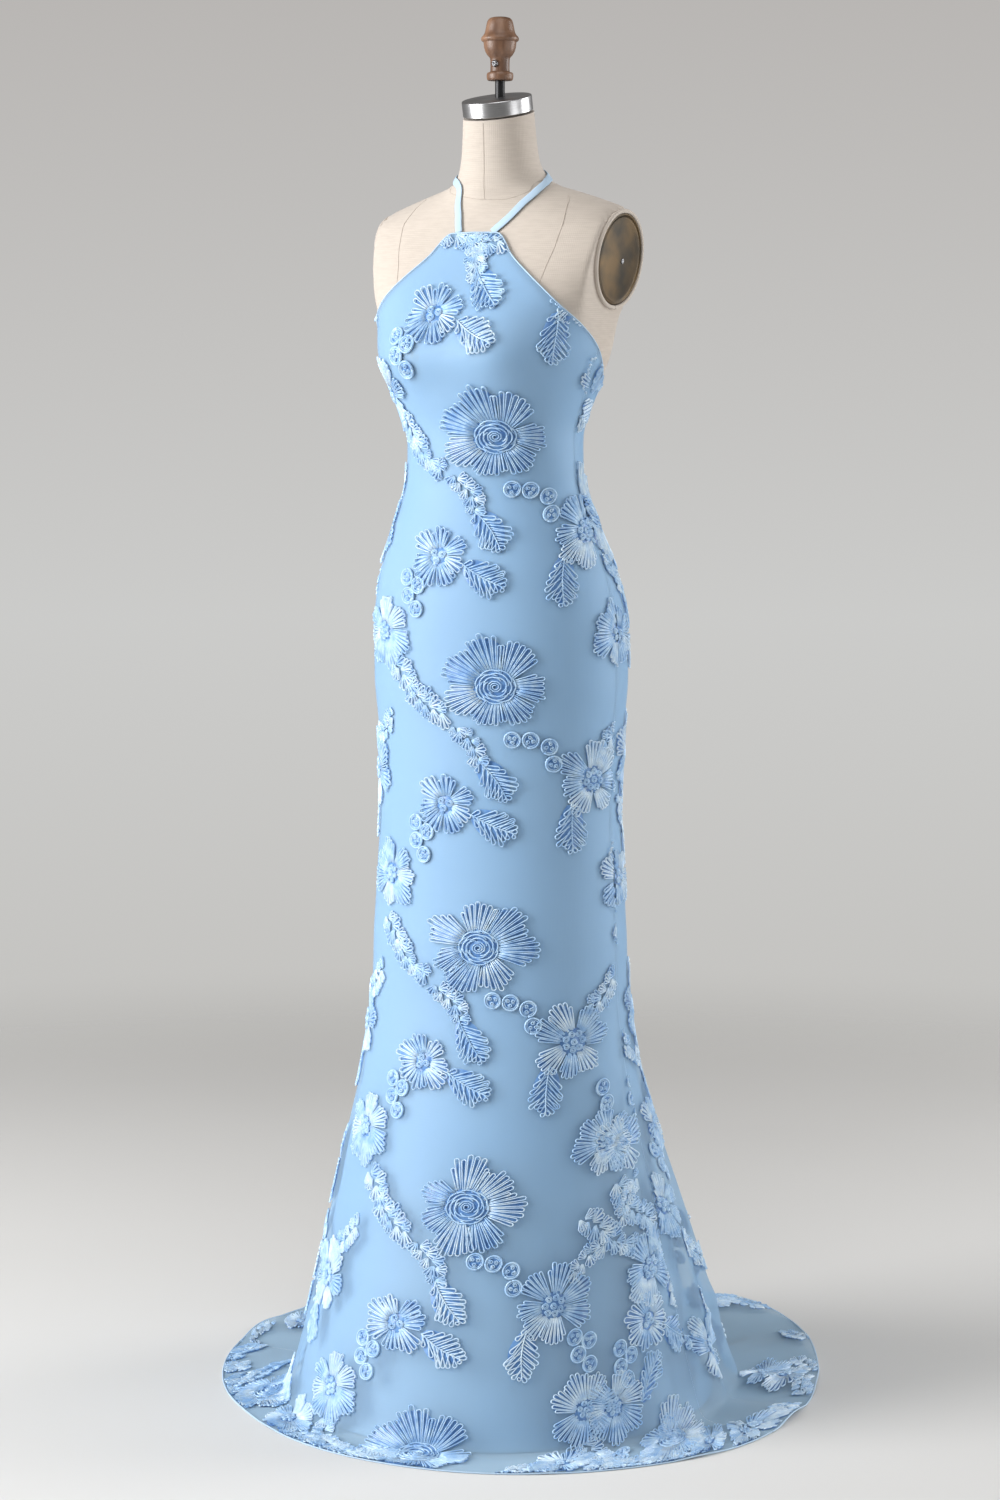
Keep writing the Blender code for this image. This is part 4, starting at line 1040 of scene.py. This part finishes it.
def placements(surface, panel):
    """(kind, across, level, turn) of every motif that touches a panel."""
    wanted = []
    for row, off_across, off_level in zip(*ROWS.values()):
        rose_level = FIRST_ROSE_LEVEL - row * REPEAT_DOWN - panel["lower"] + off_level
        for repeat in panel["repeats"]:
            moved = panel["shift"] + repeat * REPEAT_ACROSS + off_across
            for kind, across, drop, turn in zip(*REPEAT.values()):
                if rose_level - drop > TRAIN_LEVEL or kind in TRAIN_KINDS or panel["middle"] == 0:
                    wanted.append((kind, across + moved, rose_level - drop, turn))
    if panel["middle"] == 0:
        wanted += list(zip(*FRONT_EXTRAS.values()))
    for kind, share, above, turn in zip(*HEM_ROW.values()):
        level = surface.hem(share) + above
        wanted.append((kind, (share - panel["middle"]) * surface.girth(level), level, turn))
    return wanted


def embroidered(surface, panel, drawn):
    """All ribbon of one panel as (points, quads, slots, levels), cut off at the panel's edges."""
    dice = np.random.default_rng(SEED)
    all_points, all_quads, all_slots, all_levels, count = [], [], [], [], 0
    for kind, across, level, turn in placements(surface, panel):
        points, quads, slots = drawn[str(kind), int(dice.integers(VARIANTS))]
        angle = radians(float(turn)) + dice.uniform(-.08, .08)
        x = across + points[:, 0] * cos(angle) - points[:, 1] * sin(angle)
        y = level + points[:, 0] * sin(angle) + points[:, 1] * cos(angle)
        share = panel["middle"] + x / surface.girth(y)
        inside = (share > panel["first"] + SEAM_GAP) & (share < panel["last"] - SEAM_GAP)
        inside &= (y > surface.hem(share) + .0006) & (y < neckline(share) - .0010)
        whole = inside[quads].all(axis=1)
        if not whole.any():
            continue
        kept = quads[whole]
        used, local = np.unique(kept, return_inverse=True)
        out = thinning(y[used], NET_OUT) + points[used, 2]
        all_points.append(surface.at(share[used], y[used], out))
        all_quads.append(local.reshape(kept.shape) + count)
        all_slots.append(slots[whole])
        all_levels.append(np.full(len(kept), level))
        count += len(used)
    return tuple(np.concatenate(found) for found in (all_points, all_quads, all_slots, all_levels))


# ---- Pieces of the dress

def cloth_points(surface, panel, columns, rows, away):
    """A panel's points, rows from the hem up to the neckline."""
    shares = np.linspace(panel["first"], panel["last"], columns + 1)[None].repeat(rows + 1, axis=0)
    up = np.linspace(0, 1, rows + 1)[:, None]
    hem, top = surface.hem(shares[0]), neckline(shares[0])
    levels = hem + up * (top - hem)
    shares[:, 0] += SEAM_GAP / 2 / surface.girth(levels[:, 0])
    shares[:, -1] -= SEAM_GAP / 2 / surface.girth(levels[:, -1])
    return surface.at(shares, levels, thinning(levels, away)), shares, levels


def dress(materials):
    net = Surface(HEM["landing"], HEM["overlay"], loose=True)
    under = Surface(HEM["lining"], HEM["lining"] + LINING_REACH, loose=False)
    drawn = drawn_motifs()
    for name, panel in PANELS.items():
        overlay_panel(name, net, panel, drawn, materials)
        lining_panel(name, under, panel, materials)
    halter_strap(net, materials)
    return net


def overlay_panel(name, surface, panel, drawn, materials):
    points, shares, levels = cloth_points(surface, panel, panel["columns"], NET_ROWS, NET_OUT)
    mesh = mesh_from("overlay_" + name, points.reshape(-1, 3), grid_quads(*shares.shape))
    cloth = piece("net_" + name, mesh, materials["net"], "sheer_overlay", "overlay_" + name)
    trims = [rolled_edge("hem_" + name, points[0], materials["ribbon_edge"]),
             rolled_edge("neck_edge_" + name, points[-1], materials["satin"])]
    found, quads, slots, quad_levels = embroidered(surface, panel, drawn)
    bands = ((-1, EMBROIDERY_SPLIT), (EMBROIDERY_SPLIT, 2)) if panel["middle"] == 0 else ((-1, 2),)
    for k, (low, high) in enumerate(bands):
        here = (quad_levels >= low) & (quad_levels < high)
        chosen = quads[here]
        used, local = np.unique(chosen, return_inverse=True)
        mesh = mesh_from("ribbons", found[used], local.reshape(chosen.shape), slots[here])
        trims.append(piece(f"embroidery_{name}_{k}", mesh, materials["ribbon"], "sheer_overlay"))


def rolled_edge(name, path, material):
    """A narrow rolled edge along cloth, clear of the floor."""
    path = np.maximum(path, (-10, -10, EDGE_RADIUS + FLOOR_CLEARANCE / 2))
    return piece(name, tube_mesh(name, path, EDGE_RADIUS), material, "sheer_overlay")


def lining_panel(name, surface, panel, materials):
    points, shares, levels = cloth_points(surface, panel, panel["columns"] // 2, LINING_ROWS, LINING_OUT)
    mesh = mesh_from("lining_" + name, points.reshape(-1, 3), grid_quads(*shares.shape))
    cloth = piece("satin_" + name, mesh, materials["satin"], "satin_lining", "lining_" + name)
    wall = cloth.modifiers.new("wall", "SOLIDIFY")
    wall.thickness = LINING_THICKNESS
    wall.offset = 0
    applied(cloth)


def halter_strap(surface, materials):
    """One band from the right corner of the neckline round the neck to the left corner."""
    order = np.arange(float(len(STRAP["share"])))
    at = np.linspace(0, order[-1], STRAP_SPANS + 1)
    share, level = smooth(at, order, STRAP["share"]), smooth(at, order, STRAP["level"])
    share = np.where(share < -.5, share + 1, share)
    middle = surface.at(share, level, STRAP_MIDDLE)
    facing = surface.at(share, level, 1.0) - surface.at(share, level)
    mesh = tube_mesh("strap", middle, STRAP_WIDTH / 2, facing, sides=16, flat=STRAP_FLATNESS)
    strap = piece("strap", mesh, materials["satin"], "satin_lining", "halter_strap")


# ---- Pieces of the form

def arm_limit(heights):
    """How far out the form reaches at each side: the plane of the arm plates, opening out below them."""
    below = np.clip(PLATE["z"] - ARM_FLAT * PLATE["half_z"] - heights, 0, None)
    return ARM_PLANE + tan(ARM_TILT) * (heights - PLATE["z"]) + below


def torso(surface, materials):
    """The linen body: flat at the arms with a rounded rim, and cut by a tilted plane at the neck."""
    levels = np.arange(TORSO_BOTTOM, NECK_TOP + TORSO_STEP / 2, TORSO_STEP)
    shares = np.linspace(-.5, .5, TORSO_COLUMNS + 1)[:-1]
    points = surface.at(shares[None], levels[:, None])
    limit, rim = arm_limit(points[..., 2]), ARM_RIM
    past = np.clip(np.abs(points[..., 0]) - (limit - rim), 0, None)
    held = np.minimum(np.abs(points[..., 0]), limit - rim) + rim * np.tanh(past / rim)
    points[..., 0] = np.sign(points[..., 0]) * held
    mesh = mesh_from("torso", points.reshape(-1, 3), grid_quads(len(levels), len(shares), closed=True))
    work = bmesh.new()
    work.from_mesh(mesh)
    bmesh.ops.holes_fill(work, edges=[edge for edge in work.edges if edge.is_boundary])
    work.to_mesh(mesh)
    work.free()
    mesh.shade_smooth()
    mesh.set_sharp_from_angle(angle=radians(50))
    body = piece("torso", mesh, materials["linen"], "linen", "form_torso")
    for name, places in SEAMS.items():
        share, level = np.array(places).T
        at = np.linspace(0, len(places) - 1, 12 * len(places))
        order = np.arange(float(len(places)))
        share, level = smooth(at, order, share), smooth(at, order, level)
        path = surface.at(share, level, SEAM_OUT)
        limit = arm_limit(path[:, 2])
        path[:, 0] = np.clip(path[:, 0], -limit, limit)
        piece("seam_" + name, tube_mesh(name, path, SEAM_RADIUS, sides=6), materials["seam"], "linen")
    return body


def hardware(materials):
    radius, height, edge = CAP["radius"], CAP["height"], CAP["edge"]
    turn = np.linspace(pi / 2, 0, 6)
    radii = np.concatenate([[.0065], radius - edge + edge * np.cos(turn), [radius, radius - .0008]])
    heights = np.concatenate([[height], height - edge + edge * np.sin(turn), [.0008, 0]])
    cap = piece("cap", turned_mesh("cap", radii, heights), materials["steel"], "brushed_metal", "neck_cap")
    cap.location = (0, CAP["y"], NECK_TOP + LIFT / cos(NECK_TILT))
    cap.rotation_euler = (NECK_TILT, 0, 0)
    top = NECK_TOP + (LIFT + height) / cos(NECK_TILT)
    rod = turned_mesh("rod", [ROD_RADIUS - .0004, ROD_RADIUS, ROD_RADIUS],
                      [FINIAL_BOTTOM - LIFT, FINIAL_BOTTOM - LIFT - .0004, top - .0010], 40)
    piece("rod", rod, materials["black"], "black_metal", "cap_rod")
    piece("finial_turned", turned_mesh("finial", FINIAL["radius"], FINIAL["height"]), materials["wood"],
          "turned_wood", "finial")
    screw_head("finial_screw_head", (0, -.0112 - LIFT, SCREW["height"]), (pi / 2, 0, 0), materials["screw"],
               "finial_screw")
    for name, side in (("left", 1), ("right", -1)):
        arm_plate(name, side, materials)
    pole = turned_mesh("pole", [POLE_RADIUS, POLE_RADIUS], [TORSO_BOTTOM - LIFT, BASE["height"][0] + LIFT])
    piece("pole", pole, materials["steel"], "brushed_metal", "stand_pole")
    piece("base", turned_mesh("base", BASE["radius"], BASE["height"]), materials["black"], "black_metal",
          "stand_base")


def screw_head(name, place, turn, material, *nodes):
    """A round screw head with a slot."""
    radius, rise = SCREW["radius"], SCREW["length"]
    at = np.linspace(0, pi / 2, 5)
    radii = np.concatenate([[.0004], radius * np.sin(at[1:]), [radius]])
    heights = np.concatenate([[rise], rise * (.45 + .55 * np.cos(at[1:])), [0]])
    mesh = turned_mesh(name, radii, heights, 24)
    work = bmesh.new()
    work.from_mesh(mesh)
    for vert in work.verts:
        if abs(vert.co.y) < .00055 and vert.co.z > rise * .5:
            vert.co.z = rise * .5
    work.to_mesh(mesh)
    work.free()
    head = piece(name, mesh, material, "black_metal", *nodes)
    head.location = place
    head.rotation_euler = turn
    return head


def arm_plate(name, side, materials):
    """A domed oval plate with a raised rim and a screw."""
    at = np.linspace(0, 1, 14)
    radii = np.concatenate([.004 + .90 * at, [.925, .950, .975, 1.0, 1.0]])
    rises = np.concatenate([.80 - .42 * at ** 2, [.40, .62, .70, .55, 0]])
    mesh = turned_mesh("plate_" + name, radii, rises * PLATE["thick"], 96)
    for vert in mesh.vertices:
        vert.co.x *= PLATE["half_z"]
        vert.co.y *= PLATE["half_y"]
    plate = piece("plate_" + name, mesh, materials["bronze"], "bronze", "arm_plate_" + name)
    turn = (0, side * (pi / 2 + ARM_TILT), 0)
    plate.location = (side * (ARM_PLANE + LIFT * cos(ARM_TILT)), PLATE["y"], PLATE["z"] - LIFT * sin(ARM_TILT))
    plate.rotation_euler = turn
    out = LIFT + .78 * PLATE["thick"]
    place = (side * (ARM_PLANE + out * cos(ARM_TILT)), PLATE["y"] + .004, PLATE["z"] - .002 - out * sin(ARM_TILT))
    head = screw_head("plate_screw_" + name, place, turn, materials["screw"])
    head.scale = (.80, .80, .30)
    turn = np.linspace(0, 2 * pi, 97)
    path = np.stack([(PLATE["half_z"] + ARM_PIPING) * np.cos(turn), (PLATE["half_y"] + ARM_PIPING) * np.sin(turn),
                     np.full(97, ARM_PIPING * .4)], axis=1)
    piping = piece("arm_piping_" + name, tube_mesh("piping", path, ARM_PIPING), materials["linen"], "linen")
    piping.location, piping.rotation_euler = plate.location, plate.rotation_euler


# ---- Studio

def studio():
    floor = bpy.data.meshes.new("floor")
    work = bmesh.new()
    bmesh.ops.create_circle(work, cap_ends=True, segments=96, radius=FLOOR_FADE[1] + .1)
    work.to_mesh(floor)
    work.free()
    ground = bpy.data.objects.new("floor", floor)
    ground.data.materials.append(floor_material())
    bpy.context.scene.collection.objects.link(ground)
    world = bpy.data.worlds.new("pale_air")
    bpy.context.scene.world = world
    world.use_nodes = True
    tree = world.node_tree
    background = tree.nodes["Background"]
    coordinates = tree.nodes.new("ShaderNodeTexCoord")
    split = tree.nodes.new("ShaderNodeSeparateXYZ")
    tree.links.new(coordinates.outputs["Generated"], split.inputs["Vector"])
    shades = tree.nodes.new("ShaderNodeValToRGB")
    span = tree.nodes.new("ShaderNodeMapRange")
    span.inputs["From Min"].default_value = -.25
    span.inputs["From Max"].default_value = .15
    tree.links.new(split.outputs["Z"], span.inputs["Value"])
    tree.links.new(span.outputs["Result"], shades.inputs["Fac"])
    stops = ((0, (.53, .52, .50)), (.45, (.60, .60, .59)), (1, (.46, .44, .425)))
    while len(shades.color_ramp.elements) < len(stops):
        shades.color_ramp.elements.new(.5)
    for element, (position, colour) in zip(shades.color_ramp.elements, stops):
        element.position = position
        element.color = (*colour, 1)
    tree.links.new(shades.outputs["Color"], background.inputs["Color"])
    path = tree.nodes.new("ShaderNodeLightPath")
    strength = tree.nodes.new("ShaderNodeMapRange")
    strength.inputs["To Min"].default_value = AMBIENT
    strength.inputs["To Max"].default_value = 1.0
    tree.links.new(path.outputs["Is Camera Ray"], strength.inputs["Value"])
    tree.links.new(strength.outputs["Result"], background.inputs["Strength"])
    for name, azimuth, distance, height, size, power in zip(*LIGHTS.values()):
        light = bpy.data.lights.new(str(name), "AREA")
        light.shape = "RECTANGLE"
        light.size, light.size_y = float(size), 2.6
        light.energy = float(power)
        lamp = bpy.data.objects.new(str(name), light)
        angle = radians(float(azimuth)) + VIEW_AZIMUTH
        lamp.location = (distance * sin(angle), -distance * cos(angle), height)
        aim = Vector((0, 0, AIM_HEIGHT)) - lamp.location
        lamp.rotation_euler = aim.to_track_quat("-Z", "Y").to_euler()
        bpy.context.scene.collection.objects.link(lamp)


def camera():
    data = bpy.data.cameras.new("camera")
    data.sensor_fit = "VERTICAL"
    data.sensor_height = SENSOR_HEIGHT
    data.lens = LENS
    view = bpy.data.objects.new("camera", data)
    view.location = (VIEW_DISTANCE * sin(VIEW_AZIMUTH), -VIEW_DISTANCE * cos(VIEW_AZIMUTH), VIEW_HEIGHT)
    view.rotation_euler = (pi / 2 - VIEW_PITCH, 0, VIEW_AZIMUTH)
    bpy.context.scene.collection.objects.link(view)
    bpy.context.scene.camera = view


EMBROIDERY_SPLIT = 0.30
TRAIN_LEVEL = 0.010
TRAIN_KINDS = ("daisy", "open")
EDGE_RADIUS = 0.0009
LINING_THICKNESS = 0.0005
LINING_REACH = 0.008
STRAP_FLATNESS = 0.17
TORSO_STEP = 0.006
TORSO_COLUMNS = 180
ARM_RIM = 0.0035
ARM_PIPING = 0.0026
SEAM_OUT = 0.0001
FLOOR_FADE = (1.5, 3.0)
AMBIENT = 0.34
AIM_HEIGHT = 0.85
# Softboxes: azimuth from the camera, growing to the right, then metres and watts
LIGHTS = table(
    "name azimuth distance height size power",
    ("key", -75, 3.2, 1.7, 1.9, 165),
    ("rim", 104, 3.2, 1.6, 1.4, 66),
    ("top", 0, 1.6, 3.4, 2.0, 30),
    ("low", 58, 3.0, .5, 1.4, 20),
)

bpy.context.scene.view_settings.view_transform = "Standard"
MATERIALS = dict(satin=satin_material(), net=net_material(), ribbon=ribbon_materials(), linen=linen_material(),
                 seam=seam_material(), steel=steel_material("brushed_steel", (.50, .50, .51), (.68, .68, .69)),
                 screw=steel_material("screw_steel", (.13, .13, .135), (.22, .22, .23)), black=black_material(), wood=wood_material(),
                 bronze=bronze_material())
MATERIALS["ribbon_edge"] = MATERIALS["satin"]
torso(dress(MATERIALS), MATERIALS)
hardware(MATERIALS)
studio()
camera()
